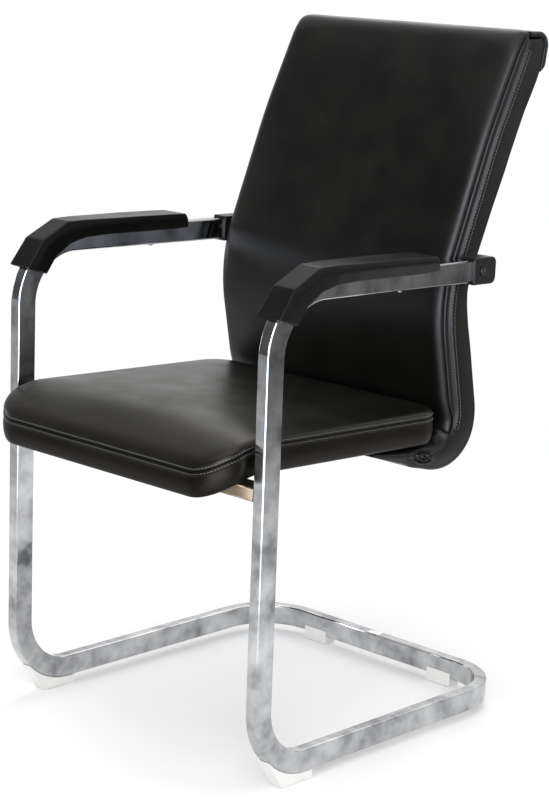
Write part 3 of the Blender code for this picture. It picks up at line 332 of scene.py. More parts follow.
def piece(name, shape, mat, *replaced, slot, fill=None, caps=True):
    """Object at the origin, riding on the chair, in its material.

    `shape` is a finished mesh or the rings of one closed grid. A hard piece shades by its large faces, so its
    flats stay flat up to their round edges.
    """
    obj = placed(name, surface(name, (shape, True), caps=caps) if isinstance(shape, np.ndarray) else shape)
    if fill is None:
        obj.modifiers.new("flat_faces", "WEIGHTED_NORMAL").weight = 80
    return dressed(obj, mat, *replaced, slot=slot, fill=fill)


def dressed(obj, mat, *replaced, slot, fill=None):
    """Material and body of an object, and the nodes it stands for, which are hidden.

    `slot`, its record slot, and `fill`, how full it is if padded, are not used.
    """
    obj.data.materials.clear()
    obj.data.materials.append(mat)
    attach(obj, body)
    if replaced:
        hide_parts(*replaced)
    return obj


def stitches(name, *seams):
    """Threads of a seam: one short round bar, its ends drawn in, set at every pitch along each path.

    A seam is (path, outward). At each place the bar's three axes are the path's direction, the outward
    direction squared up to it, and their cross product.
    """
    t, a = np.linspace(-1, 1, 7), np.radians(60 * np.arange(6))
    thick = THREAD * np.clip(1 - np.abs(t) ** 4, 0.15, 1)
    bar = np.stack([np.outer(t * STITCH / 2, np.ones(a.size)), np.outer(thick, np.cos(a)),
                    np.outer(thick, np.sin(a))], -1).reshape(-1, 3)
    bars = []
    for path, outward in seams:
        count = max(2, int(round(lengths_along(path)[-1] / STITCH_PITCH)))
        place, up = np.split(in_steps(np.concatenate([path, outward], 1), count), 2, axis=1)
        along = unit(np.gradient(place, axis=0))
        up = unit(up - (up * along).sum(1)[:, None] * along)
        axes = np.stack([along, np.cross(up, along), up], 1)
        bars.append(place[:, None] + np.einsum("vk,ski->svi", bar, axes))
    points = np.concatenate(bars)
    faces = quads(np.arange(len(bar)).reshape(t.size, a.size))[:, [0, 3, 2, 1]]
    faces = (faces[None] + (len(bar) * np.arange(len(points)))[:, None, None]).reshape(-1, 4)
    mesh = bpy.data.meshes.new(name)
    mesh.from_pydata(points.reshape(-1, 3) + (0, leg_y, 0), [], faces.tolist())
    mesh.shade_smooth()
    return piece(name, mesh, THREAD_GREY, slot="black_leather")


def positions(mesh):
    """A mesh's points as one array."""
    flat = np.empty(3 * len(mesh.vertices), np.float32)
    mesh.vertices.foreach_get("co", flat)
    return flat.reshape(-1, 3)


def swollen(name, mesh, reach):
    """Sewn cover blown out by its filling: cloth under pressure, held wherever it can't rise.

    `reach` gives how far each point may move, from the points. A move d becomes reach * tanh(d / reach).
    """
    scene = bpy.context.scene
    obj = placed(name, mesh)
    start = positions(mesh)
    most = np.maximum(reach(start - (0, leg_y, 0)), 1e-6)[:, None]
    held = obj.vertex_groups.new(name="held")
    held.add(np.nonzero(most[:, 0] < HELD_REACH)[0].tolist(), 1.0, "REPLACE")
    cloth = obj.modifiers.new("cover", "CLOTH")
    cloth.settings.vertex_group_mass = held.name
    cloth.settings.use_pressure = True
    for setting, value in CLOTH_SETTINGS:
        setattr(cloth.settings, setting, value)
    cloth.settings.effector_weights.gravity = 0
    cloth.point_cache.frame_start, cloth.point_cache.frame_end = 1, CLOTH_STEPS
    for step in range(1, CLOTH_STEPS + 1):
        scene.frame_set(step)
    moved = positions(obj.evaluated_get(bpy.context.evaluated_depsgraph_get()).to_mesh()) - start
    far = np.linalg.norm(moved, axis=1)[:, None] + 1e-9
    obj.modifiers.clear()
    scene.frame_set(1)
    mesh.vertices.foreach_set("co", (start + moved / far * most * np.tanh(far / most)).ravel())
    mesh.update()
    finer = obj.modifiers.new("finer_faces", "SUBSURF")
    finer.levels = finer.render_levels = 1
    return obj


# Materials


def colour(code):
    """Linear colour of an sRGB hex code."""
    value = np.array([int(code[k:k + 2], 16) for k in (1, 3, 5)]) / 255
    linear = np.where(value <= 0.04045, value / 12.92, ((value + 0.055) / 1.055) ** 2.4)
    return (*linear.tolist(), 1.0)


def add(tree, kind, settings=None, stops=(), **links):
    """Node of a kind with its settings, by attribute or socket name, and its inputs linked from sockets.

    `stops` are a colour ramp's: each is a place from 0 to 1 and a hex colour.
    """
    node = tree.nodes.new(kind)
    for key, value in (settings or {}).items():
        if isinstance(key, str) and hasattr(node, key):
            setattr(node, key, value)
        else:
            node.inputs[key].default_value = value
    if stops:
        elements = node.color_ramp.elements
        while len(elements) < len(stops):
            elements.new(0.5)
        for element, (place, code) in zip(elements, stops):
            element.position, element.color = place, colour(code)
    for key, socket in links.items():
        numbered = key[0] == "i" and key[1:].isdigit()
        tree.links.new(socket, node.inputs[int(key[1:]) if numbered else key.replace("_", " ")])
    return node


def finish(name, base, roughness, metallic=0.0, ior=None):
    """Material with a Principled shader, its constants set on the sockets, and the piece's own coordinates."""
    mat = bpy.data.materials.new(name)
    mat.use_nodes = True
    shader = mat.node_tree.nodes["Principled BSDF"]
    shader.inputs["Base Color"].default_value = colour(base)
    shader.inputs["Roughness"].default_value = roughness
    shader.inputs["Metallic"].default_value = metallic
    if ior:
        shader.inputs["IOR"].default_value = ior
    return mat, mat.node_tree, shader, add(mat.node_tree, "ShaderNodeTexCoord").outputs["Object"]


def drive(tree, shader, **nodes):
    """Sockets of the shader fed by the first output of each node, under the socket's name."""
    for name, node in nodes.items():
        tree.links.new(node.outputs[0], shader.inputs[name.replace("_", " ")])


def chrome_plate():
    """Decorative chrome on polished steel tube: a clear mirror, its haze uneven where the tube was bent and wiped.

    The patches of darker and lighter grey in its colour are painted reflection.
    """
    mat, tree, shader, place = finish("chrome_plate_on_bent_tube", "#bcbdbf", 0.10, 1.0)
    cloud = add(tree, "ShaderNodeTexNoise", {"Scale": 1 / 0.045, "Detail": 3.0, "Roughness": 0.55}, Vector=place)
    haze = add(tree, "ShaderNodeMapRange", {"From Min": 0.35, "From Max": 0.75, "To Min": 0.03, "To Max": 0.16},
               Value=cloud.outputs["Fac"])
    wave = add(tree, "ShaderNodeTexNoise", {"Scale": 1 / 0.030, "Detail": 1.0}, Vector=place)
    bump = add(tree, "ShaderNodeBump", {"Strength": 0.45, "Distance": 0.0008}, Height=wave.outputs["Fac"])
    # Painted reflection: darker and lighter grey patches stand in for dark and light things mirrored in the plating.
    tint = add(tree, "ShaderNodeValToRGB", stops=((0.30, "#828385"), (0.47, "#aeafb1"), (0.64, "#c8c9ca")),
               Fac=cloud.outputs["Fac"])
    drive(tree, shader, Roughness=haze, Normal=bump, Base_Color=tint)
    return mat


def plated_steel(name, base, worn, roughness, grain_mm):
    """Barrel-plated steel: a fine grain scatters the light, and handling has dulled it in patches."""
    mat, tree, shader, place = finish(name, base, roughness, 1.0)
    grain = add(tree, "ShaderNodeTexNoise", {"Scale": 1000 / grain_mm, "Detail": 4.0}, Vector=place)
    spread = add(tree, "ShaderNodeMapRange", {"To Min": roughness - 0.08, "To Max": roughness + 0.10},
                 Value=grain.outputs["Fac"])
    bump = add(tree, "ShaderNodeBump", {"Strength": 0.25, "Distance": 0.0001}, Height=grain.outputs["Fac"])
    dulled = add(tree, "ShaderNodeTexNoise", {"Scale": 1 / 0.020, "Detail": 3.0}, Vector=place)
    tint = add(tree, "ShaderNodeValToRGB", stops=((0.35, base), (0.70, worn)), Fac=dulled.outputs["Fac"])
    drive(tree, shader, Roughness=spread, Normal=bump, Base_Color=tint)
    return mat


def moulded_plastic(name, base, worn, roughness, grain_mm, depth, ior=1.49, gloss=0.5):
    """Injection-moulded plastic with a spark-eroded grain: it breaks the gloss without dulling the colour."""
    mat, tree, shader, place = finish(name, base, roughness, ior=ior)
    shader.inputs["Specular IOR Level"].default_value = gloss
    grain = add(tree, "ShaderNodeTexNoise", {"Scale": 1000 / grain_mm, "Detail": 2.0}, Vector=place)
    bump = add(tree, "ShaderNodeBump", {"Strength": 0.3, "Distance": depth}, Height=grain.outputs["Fac"])
    rub = add(tree, "ShaderNodeTexNoise", {"Scale": 1 / 0.035, "Detail": 4.0}, Vector=place)
    spread = add(tree, "ShaderNodeMapRange", {"From Min": 0.3, "From Max": 0.7, "To Min": roughness - 0.05,
                                              "To Max": roughness + 0.06}, Value=rub.outputs["Fac"])
    tint = add(tree, "ShaderNodeValToRGB", stops=((0.35, base), (0.72, worn)), Fac=rub.outputs["Fac"])
    drive(tree, shader, Roughness=spread, Normal=bump, Base_Color=tint)
    return mat


def coated_leather(name, sheen, gloss=0.30):
    """Split leather with a pressed polyurethane face: near black, half gloss, in a pebble about 2 mm across."""
    mat, tree, shader, place = finish(name, "#0b0b0a", 0.38, ior=1.50)
    shader.inputs["Specular IOR Level"].default_value = gloss
    # A sheen other than white tints what the leather mirrors: painted reflection.
    shader.inputs["Specular Tint"].default_value = colour(sheen)
    pebble = add(tree, "ShaderNodeTexVoronoi", {"feature": "SMOOTH_F1", "Scale": 1 / 0.0021, "Smoothness": 0.6},
                 Vector=place)
    crease = add(tree, "ShaderNodeTexNoise", {"Scale": 1 / 0.012, "Detail": 5.0, "Roughness": 0.6}, Vector=place)
    height = add(tree, "ShaderNodeMath", {"operation": "MULTIPLY_ADD", 1: 0.5},
                 i0=crease.outputs["Fac"], i2=pebble.outputs["Distance"])
    bump = add(tree, "ShaderNodeBump", {"Strength": 0.16, "Distance": 0.00035}, Height=height.outputs[0])
    wear = add(tree, "ShaderNodeTexNoise", {"Scale": 1 / 0.060, "Detail": 3.0}, Vector=place)
    spread = add(tree, "ShaderNodeMapRange", {"From Min": 0.3, "From Max": 0.7, "To Min": 0.33, "To Max": 0.43},
                 Value=wear.outputs["Fac"])
    tint = add(tree, "ShaderNodeValToRGB", stops=((0.30, "#090908"), (0.75, "#0f0e0b")), Fac=wear.outputs["Fac"])
    drive(tree, shader, Roughness=spread, Normal=bump, Base_Color=tint)
    return mat


def sewing_thread():
    """Bonded polyester thread: grey, so that it reads lighter than the leather; its twist is 0.8 mm long."""
    mat, tree, shader, place = finish("grey_polyester_thread", "#6f6f70", 0.40, ior=1.55)
    twist = add(tree, "ShaderNodeTexNoise", {"Scale": 1 / 0.0008, "Detail": 1.0}, Vector=place).outputs["Fac"]
    bump = add(tree, "ShaderNodeBump", {"Strength": 0.4, "Distance": 0.0002}, Height=twist)
    tint = add(tree, "ShaderNodeValToRGB", stops=((0.30, "#5d5d5e"), (0.75, "#848484")), Fac=twist)
    drive(tree, shader, Normal=bump, Base_Color=tint)
    return mat


def birch_plywood():
    """Unfinished birch plywood: pale, with a soft figure drawn out along X."""
    mat, tree, shader, place = finish("birch_plywood", "#c9a877", 0.62)
    drawn = add(tree, "ShaderNodeMapping", {"Scale": (12.0, 90.0, 90.0)}, Vector=place)
    figure = add(tree, "ShaderNodeTexNoise", {"Scale": 1.0, "Detail": 4.0}, Vector=drawn.outputs["Vector"])
    tint = add(tree, "ShaderNodeValToRGB", stops=((0.2, "#b48f5c"), (0.8, "#d9bd8f")), Fac=figure.outputs["Fac"])
    drive(tree, shader, Base_Color=tint)
    return mat


def dust_cloth():
    """Spunbonded black cloth under the seat: dull, with rows of heat-welded dots 1.6 mm apart."""
    mat, tree, shader, place = finish("spunbonded_dust_cloth", "#1c1c1c", 0.85)
    dots = add(tree, "ShaderNodeTexVoronoi", {"Scale": 1 / 0.0016, "Randomness": 0.15}, Vector=place)
    bump = add(tree, "ShaderNodeBump", {"Strength": 0.4, "Distance": 0.0003}, Height=dots.outputs["Distance"])
    tint = add(tree, "ShaderNodeValToRGB", stops=((0.15, "#121212"), (0.7, "#222221")),
               Fac=dots.outputs["Distance"])
    drive(tree, shader, Normal=bump, Base_Color=tint)
    return mat


CHROME = chrome_plate()
# The seat bar's warm brown-grey is painted reflection: warm surroundings mirrored into the plating's colour.
BAR_PLATE_WITH_WARM_REFLECTION = plated_steel("dull_plate_painted_warm_reflection", "#7e7161", "#92836f", 0.36, 0.8)
ZINC = plated_steel("zinc_plated_fasteners", "#b4b5b3", "#9c9c98", 0.36, 0.6)
POWDER = moulded_plastic("black_powder_coat", "#131313", "#1a1a1a", 0.42, 0.7, 0.00008)
PAD = moulded_plastic("black_moulded_polyurethane", "#0b0b0a", "#110f0d", 0.38, 0.9, 0.00010, gloss=0.19)
CAP = moulded_plastic("black_moulded_nylon", "#0c0c0c", "#121211", 0.44, 0.8, 0.00008, 1.53, 0.34)
GLIDE = moulded_plastic("white_moulded_polyethylene", "#f8f8f6", "#f1f1ee", 0.42, 1.2, 0.00010, 1.51)
LEATHER = coated_leather("black_coated_leather", "#ffffff")
# Same leather as the back: the seat's warm-tinted sheen is painted reflection.
SEAT_LEATHER_WARM_SHEEN = coated_leather("black_coated_leather_worn_warm", "#fff6e6")
# Same leather again: the boxing's halved, warm-tinted gloss is painted shade and painted reflection.
BOXING_LEATHER_DIM_SHEEN = coated_leather("black_coated_leather_painted_dim_warm_sheen", "#ffeed8", 0.15)
THREAD_GREY = sewing_thread()
PLYWOOD = birch_plywood()
CLOTH = dust_cloth()

# By how a node's name starts; every other node, and every screw, is zinc plated
NODE_MATERIALS = (
    ("frame_tube", CHROME), ("seat_crossbar", BAR_PLATE_WITH_WARM_REFLECTION), ("seat_saddle", POWDER), ("seat_board", PLYWOOD),
    ("back_board", PLYWOOD), ("seat_dust_cover", CLOTH), ("seat_cushion", LEATHER), ("back_", LEATHER),
    ("arm_bolt", CAP), ("arm_pad", PAD), ("arm_cap", CAP), ("arm_spacer", CAP), ("front_glide", GLIDE),
    ("rear_glide", GLIDE))

for node_name, node in nodes.items():
    fits = [] if "screw" in node_name else [m for start, m in NODE_MATERIALS if node_name.startswith(start)]
    node.data.materials.clear()
    node.data.materials.append((fits + [ZINC])[0])


# The frame


def arm_z(y):
    """Height of the arm's centreline, which drops evenly towards the back."""
    return ARM_HEIGHT - ARM_DROP * y


def swept(path, across, outline):
    """Rings of an outline carried along a path: its first coordinate runs across, its second square to both."""
    ahead = unit(np.gradient(path, axis=0))
    side = unit(across - (across * ahead).sum(1)[:, None] * ahead)
    up = np.cross(ahead, side)
    return path[:, None] + outline[None, :, :1] * side[:, None] + outline[None, :, 1:] * up[:, None]


def frame_tube(side, label):
    """Rounded rectangle carried along arm, leg, base rail and half the rear rail, in one bent length."""
    x = side * HALF_FRAME
    path = rounded_path([
        (x, ARM_LENGTH, arm_z(ARM_LENGTH)), (x, 0, arm_z(0)), (x, 0, RAIL_Z), (x, BASE_LENGTH, RAIL_Z),
        (side * PLAY / 2, BASE_LENGTH, RAIL_Z)], (BEND_RADIUS,) * 3, 48)
    across = np.broadcast_to(np.array([1.0, 0, 0]), path.shape).copy()
    level = (path[:, 2] < RAIL_Z + 0.001) & (path[:, 1] > BASE_LENGTH / 2)
    ahead = np.gradient(path, axis=0)
    across[level] = np.cross(ahead, (0, 0, 1))[level]
    rings = swept(path, across, rounded_rectangle(TUBE_THICKNESS, TUBE_DEPTH, TUBE_CORNER, 5))
    return piece("chrome_tube_" + label, rings, CHROME, "frame_tube_" + label, slot="chromed_steel")


def seat_bar():
    """Flat tube between the legs, with its corners rolled round."""
    ends = np.array([(-LEG_INNER + PLAY, 0, BAR_Z), (LEG_INNER - PLAY, 0, BAR_Z)])
    path = in_steps(ends, 8)
    across = np.broadcast_to(np.array([0, 1.0, 0]), path.shape)
    rings = swept(path, across, rounded_rectangle(TUBE_DEPTH, TUBE_THICKNESS, TUBE_CORNER, 5))
    return piece("seat_bar", rings, BAR_PLATE_WITH_WARM_REFLECTION, "seat_crossbar", slot="nickel_plated_steel")


# The arms


ARM_SLOPE = math.atan(ARM_DROP)
ARM_ALONG = np.array([math.cos(ARM_SLOPE), -math.sin(ARM_SLOPE)])
ARM_UP = np.array([math.sin(ARM_SLOPE), math.cos(ARM_SLOPE)])


def over_arm(s, height):
    """Places, in (y, z), at a height over the tube's top, s metres behind the end of its front bend.

    A negative s lies in the bend, which turns down into the leg.
    """
    s = np.asarray(s, float)[..., None]
    start = np.array([0.0, ARM_HEIGHT]) + ARM_ALONG * BEND_RADIUS * math.tan((math.pi / 2 + ARM_SLOPE) / 2)
    turn = np.clip(-s / BEND_RADIUS, 0, None)
    normal = ARM_UP * np.cos(turn) - ARM_ALONG * np.sin(turn)
    place = start + ARM_ALONG * np.clip(s, 0, None) + BEND_RADIUS * (normal - ARM_UP)
    return place + normal * np.reshape(TUBE_DEPTH / 2 + height, (-1, 1))


def arm_pad(side, label):
    """Moulded pad in flat facets, with a channel over the tube: each ring is an outline across the arm.

    The edges from facet to facet and the ring's corners are cut back and joined by parabolas.
    """
    outer_run, rise, half, skirt_run, skirt = np.array(PAD_EDGES).T
    wall = TUBE_THICKNESS / 2 + PLAY
    outer, lower = over_arm(outer_run, rise), over_arm(skirt_run, -skirt)
    channel = over_arm((outer_run + skirt_run) / 2, PLAY)
    shoulder = 0.35 * lower + 0.65 * outer
    skirt_x = np.full_like(half, wall + PAD_WALL)
    right = [(0 * half, channel), (0 * half + wall, channel), (0 * half + wall, lower), (skirt_x, lower),
             (half + PAD_SHOULDER, shoulder), (half, outer)]
    xs = np.stack([x for x, _ in right] + [-x for x, _ in right[:0:-1]], 1)
    yz = np.stack([p for _, p in right] + [p for _, p in right[:0:-1]], 1)
    rings = np.concatenate([side * HALF_FRAME + xs[..., None], yz], -1)
    rings = blunted(rings, PAD_FACET_CUT, 3, closed=False)
    rings = np.moveaxis(blunted(np.moveaxis(rings, 1, 0), np.reshape(PAD_CORNER_CUTS, (-1, 1, 1)), 4), 0, 1)
    rings = round_ended(rings, PAD_END_ROUND)
    return piece("moulded_arm_pad_" + label, rings, PAD, "arm_pad_" + label, slot="black_moulded_plastic")


def arm_cap(side, label):
    """Moulded cap over the arm's rear end: a rounded outline carried across it, dished round the bolt."""
    middle = ARM_LENGTH + CAP_END - CAP_LENGTH / 2
    centre = np.array([middle, arm_z(middle)])
    half_length, half_height = CAP_LENGTH / 2, TUBE_DEPTH / 2 + PLAY + CAP_WALL
    corners = np.array([(-1, -1), (1, -1), (1, 1), (-1, 1)]) * (half_length, half_height)
    outline = blunted(corners, np.reshape(CAP_CORNER_CUTS, (-1, 1)), 10)
    outline = blunted(outline, 0.0002, 1)
    yz = centre + outline[:, :1] * ARM_ALONG + outline[:, 1:] * ARM_UP
    bolt = np.array([ARM_BOLT_Y, arm_z(ARM_BOLT_Y)])
    rows = np.stack([np.column_stack([np.full(len(yz), side * x), yz]) for x in (CAP_INNER, CAP_OUTER)])
    rows = round_ended(rows, CAP_EDGE, steps=5)
    spoke = unit(yz - bolt)
    dished = np.stack([np.column_stack([np.full(len(yz), side * (CAP_OUTER - depth)), bolt + radius * spoke])
                       for radius, depth in through(CAP_DISH, 3)])
    return piece("moulded_arm_cap_" + label, np.concatenate([rows, dished]), CAP, "arm_cap_" + label,
                 slot="black_moulded_plastic")


def turned(profile, centre, axis, sides=36, hexagon=()):
    """Rings of a turned shape: (radius, length) pairs about a line through centre, some of them six-sided."""
    axis = np.array(axis, float)
    across = np.array((0, 0, 1.0)) if abs(axis[2]) < 0.5 else np.array((1.0, 0, 0))
    a = np.linspace(0, 2 * np.pi, sides, endpoint=False)
    ring = np.cos(a)[:, None] * across + np.sin(a)[:, None] * np.cross(axis, across)
    radius, along = np.array(profile, float).T
    radius = np.broadcast_to(radius[:, None], (len(profile), sides)).copy()
    flat = np.cos(np.radians(30)) / np.cos(np.mod(a, np.pi / 3) - np.pi / 6)
    radius[list(hexagon)] *= flat
    return np.array(centre) + radius[..., None] * ring + (along[:, None] * axis)[:, None]


def arm_spacer(side, label):
    """Turned distance piece between the cap and the back, with its edges broken."""
    length = CAP_INNER - HALF_BACK - 2 * PLAY
    profile = [(0.0035, 0), (0.0100, 0), (0.0107, 0.0003), (0.0110, 0.0010), (0.0110, length - 0.0010),
               (0.0107, length - 0.0003), (0.0100, length), (0.0035, length)]
    start = (side * (HALF_BACK + PLAY), ARM_BOLT_Y, arm_z(ARM_BOLT_Y))
    rings = turned(profile, start, (side, 0, 0))
    rings = np.concatenate([rings, rings[:1]])
    return piece("turned_arm_spacer_" + label, rings, CAP, "arm_spacer_" + label, slot="black_moulded_plastic",
                 caps=False)


def fastener(node_name, shank, head, mat):
    """Domed head with a hexagon socket on a plain shank, as long and as wide as its solid."""
    low, high = (np.array(corner) - (0, leg_y, 0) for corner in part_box(node_name))
    middle = (low + high) / 2
    sideways = node_name.startswith("arm_bolt")
    axis = np.array((math.copysign(1, middle[0]), 0, 0) if sideways else (0, 0, -1.0))
    half = abs(float((high - low) @ axis)) / 2
    radius = float(np.sort(high - low)[0]) / 2
    base = half - head
    dome = [(radius * math.cos(a), base + head * (0.35 + 0.65 * math.sin(a))) for a in np.radians((0, 25, 45, 60))]
    socket = 0.50 * radius
    profile = [(0.2 * shank, -half), (0.8 * shank, -half), (shank, -half + 0.25 * shank), (shank, base),
               (radius - 0.0003, base), (radius, base + 0.0003), *dome, (1.15 * socket, half - 0.0001),
               (socket, half - 0.0003), (socket, half - 0.6 * head), (0.1 * socket, half - 0.7 * head)]
    rings = turned(profile, middle, axis, hexagon=(len(profile) - 3, len(profile) - 2))
    name = node_name.replace("arm_pad_screw", "pad_screw") + "_turned"
    return piece(name, rings, mat, node_name, slot="zinc_plated_steel")


# The seat


def seat_fall(y):
    """How far the seat lies below its seam height at y: the front drops away, the rear slopes down."""
    ahead = np.clip(WATERFALL_START - y, 0, None) / (WATERFALL_START - SEAT_FRONT)
    return WATERFALL_DROP * ahead ** 2 + SEAT_SLOPE * np.clip(y - WATERFALL_START, 0, None)


def seat_sides(inset, count=80):
    """The seat's four sides seen from above, drawn in by inset, from the middle of one corner to the next.

    Each runs round an eighth of a turn about its corner's centre, straight on, and round another eighth.
    """
    front, rear = HALF_SEAT - FRONT_CORNER, HALF_SEAT - REAR_CORNER
    centres = np.array([(-front, SEAT_FRONT + FRONT_CORNER), (front, SEAT_FRONT + FRONT_CORNER),
                        (rear, SEAT_REAR - REAR_CORNER), (-rear, SEAT_REAR - REAR_CORNER)])
    radii = np.array([FRONT_CORNER, FRONT_CORNER, REAR_CORNER, REAR_CORNER]) - inset
    sides = []
    for k in range(4):
        out = np.radians(-90 + 90 * k + np.linspace(-45, 0, 13))
        near = centres[k] + radii[k] * np.stack([np.cos(out), np.sin(out)], -1)
        out = out + np.radians(45)
        far = centres[k - 3] + radii[k - 3] * np.stack([np.cos(out), np.sin(out)], -1)
        sides.append(in_steps(np.concatenate([near, far]), count))
    return np.array(sides)


def seat_rims(profile, count=80):
    """Rings round the seat at (inset, height over the seam) pairs, lowered with the seat's fall."""
    rims = np.array([seat_sides(inset, count)[:, :-1].reshape(-1, 2) for inset, _ in profile])
    z = SEAT_SEAM_Z + np.array([height for _, height in profile])[:, None] - seat_fall(rims[..., 1])
    return np.dstack([rims, z])


def seat_sheet(inset, height, crown, count=80):
    """Grid that fills the seat's outline: its sides blended across both ways, less the blend of its corners.

    The crown rises as (1 - |u|^3)(1 - |v|^3) over the grid's own two parameters.
    """
    front, right, rear, left = seat_sides(inset, count)
    rear, left = rear[::-1], left[::-1]
    t = np.linspace(0, 1, count + 1)
    v, u = t[:, None, None], t[None, :, None]
    sides = (1 - v) * front[None] + v * rear[None] + (1 - u) * left[:, None] + u * right[:, None]
    corners = (1 - v) * ((1 - u) * front[0] + u * front[-1]) + v * ((1 - u) * rear[0] + u * rear[-1])
    plan = sides - corners
    line = 1 - np.abs(2 * t - 1) ** 3
    z = SEAT_SEAM_Z + height + crown * np.outer(line, line) - seat_fall(plan[..., 1])
    return np.dstack([plan, z])


def seat_top():
    """Crowned top of the seat: foam that swells between the seam all round and the board."""
    edge = through([(0.0060, -0.0028), (0.0036, -0.0004), (0.0013, 0.0003), (0.0007, 0.0016), (0.0006, 0.0042),
                    (0.0030, 0.0078), (0.0090, 0.0106), (0.019, 0.0122)], 3)
    rims = seat_rims(edge)
    mesh = surface("seat_top", (seat_sheet(edge[0, 0], edge[0, 1], 0), False),
                   (rims, True), (seat_sheet(edge[-1, 0], edge[-1, 1], 0.35 * SEAT_CROWN), False))

    def reach(points):
        inset = np.minimum(HALF_SEAT - np.abs(points[:, 0]),
                           np.minimum(points[:, 1] - SEAT_FRONT, SEAT_REAR - points[:, 1]))
        height = points[:, 2] + seat_fall(points[:, 1]) - SEAT_SEAM_Z
        return SWELL * smooth_step((inset - 0.004) / 0.060) * (height > 0.008)

    return dressed(swollen("seat_top_pad", mesh, reach), SEAT_LEATHER_WARM_SHEEN, "seat_cushion", slot="black_leather",
                   fill=0.85)


def seat_boxing():
    """Strip round the seat's side: it rolls under to the board, and turns in at the top where the seam bites."""
    low = -BOXING_HEIGHT
    outside = through([(BOARD_INSET, low), (0.0110, low), (0.0066, low + 0.0008), (0.0030, low + 0.0036),
                       (0.0007, low + 0.0110), (-0.0004, low + 0.0215), (0.0003, -0.0105), (0.0005, -0.0068),
                       (0.0001, -0.0055), (0.0001, -0.0026), (0.0006, -0.0009), (0.0014, -0.0005),
                       (0.0036, -0.0010)], 3)
    inside = [(0.0100, -0.0040), (BOARD_INSET, -0.0100), (BOARD_INSET, low + 0.0020)]
    rims = seat_rims([*outside, *inside, tuple(outside[0])])
    return piece("seat_boxing", rims, BOXING_LEATHER_DIM_SHEEN, "seat_cushion", slot="black_leather", fill=0.7, caps=False)


def seat_stitches():
    """Two rows of thread along the seat's seam, one on each side of it."""
    seams = []
    for inset, height, tilt in SEAM_ROWS:
        inner, outer = seat_rims([(inset, height), (inset - 0.001, height)], 160)
        out = outer - inner
        out[:, 2] = 0
        out = unit(out) + (0, 0, tilt)
        seams.append((np.concatenate([inner, inner[:1]]), np.concatenate([out, out[:1]])))
    return stitches("seat_seam_stitches", *seams)


# The back


BACK_LINE = rounded_path(BACK_CORNERS, BACK_RADII, 48)
BACK_RUN = lengths_along(BACK_LINE)
HEEL_START, HEEL_END = float(BACK_RUN[99]), float(BACK_RUN[147])
BACK_END = float(BACK_RUN[-1])
HEEL_ARC = HEEL_END - HEEL_START


def back_place(s):
    """Place and normal, rearwards or down, on the back's middle line at a length s from its top.

    The normal is square to the chord from 3 mm before to 3 mm after, and the line runs straight past its ends.
    """
    def at_length(q):
        return np.stack([np.interp(q, BACK_RUN, BACK_LINE[:, k]) for k in (0, 1)], -1)
    s = np.asarray(s, float)
    inside = np.clip(s, 0.003, BACK_END - 0.003)
    along = unit(at_length(inside + 0.003) - at_length(inside - 0.003))
    place = at_length(inside) + along * (s - inside)[..., None]
    return place, np.stack([-along[..., 1], along[..., 0]], -1)


def on_back(x, s, n):
    """Points from x across the back, the length s down it, and the depth n behind its middle line."""
    place, normal = back_place(s)
    x, y, z = np.broadcast_arrays(x, place[..., 0] + n * normal[..., 0], place[..., 1] + n * normal[..., 1])
    return np.stack([x, y, z], -1)


def lip_run(y):
    """Length along the middle line at which the lip reaches y."""
    end_y, heel_y = BACK_LINE[-1][0], float(back_place(HEEL_END)[0][0])
    return BACK_END - (y - end_y) / (heel_y - end_y) * (BACK_END - HEEL_END)


BOARD_END, ROLL_END = lip_run(BOARD_END_Y), lip_run(ROLL_END_Y)
GROOVES_END = HEEL_START + 0.30 * HEEL_ARC
COVERED = 0.018


def lip_upper(s):
    """How far the lip reaches above the middle line to meet the seat's underside."""
    place, normal = back_place(s)
    bottom = SEAT_SEAM_Z - BOXING_HEIGHT - seat_fall(place[..., 0])
    return (bottom - place[..., 1]) * np.abs(normal[..., 1]) - 2 * PLAY


def front_depth(s):
    """How far the padding stands in front of the middle line: it thins where it passes under the seat."""
    under = float(lip_upper(HEEL_END))
    marks = [*(HEEL_START + HEEL_ARC * share for share in (-0.2, 0.50, 0.72)), HEEL_END, BACK_END]
    return eased(s, marks, [PANEL_FRONT, 0.64 * under + 0.36 * PANEL_FRONT - 10 * PLAY, under - 3 * PLAY, under,
                            float(lip_upper(BACK_END))], 0.006)


def rear_depth(s):
    """How far the padding stands behind the middle line: it thins at the waist, and below the heel's roll."""
    marks = [FLAP_LENGTH - TOP_OVERLAP, *(HEEL_START * share for share, _ in REAR_DEPTHS),
             *(HEEL_START + HEEL_ARC * share for share, _ in HEEL_DEPTHS), HEEL_END, ROLL_END,
             BOARD_END + LIP_STEP_RUN, BACK_END]
    depths = [BACK_REAR, *(depth for _, depth in (*REAR_DEPTHS, *HEEL_DEPTHS)), *LIP_DEPTHS]
    return np.where(np.asarray(s) < ROLL_END - 0.02, eased(s, marks, depths, 0.009), eased(s, marks, depths, 0.0015))


def width_at(s, top, corner):
    """Half the width at s of a layer whose top edge is at top: its upper corners are quarter circles."""
    rise = np.clip(1 - (s - top) / corner, 0, 1)
    return HALF_BACK - corner * (1 - np.sqrt(1 - rise ** 2))


def panel_rows():
    """Lengths and depths of the front panel's rings: over the top it curls back as a quarter ellipse."""
    a = np.radians(np.linspace(0, 90, 13))
    thin = PANEL_REAR + 5 * PLAY
    top = -TOP_OVERLAP + TOP_PADDING * (1 - np.cos(a))
    down = np.linspace(top[-1], GROOVES_END + COVERED, 108)[1:]
    s = np.concatenate([top, down])
    front = np.concatenate([thin + (PANEL_FRONT - thin) * np.sin(a), front_depth(down)])
    closing = 1 - 0.70 * smooth_step((s - GROOVES_END + 0.040) / 0.045)
    groove = PANEL_REAR + np.minimum(EDGE_BAND, 0.45 * (front - PANEL_REAR)) * closing
    return s, front, groove, width_at(s, -TOP_OVERLAP, TOP_CORNER)


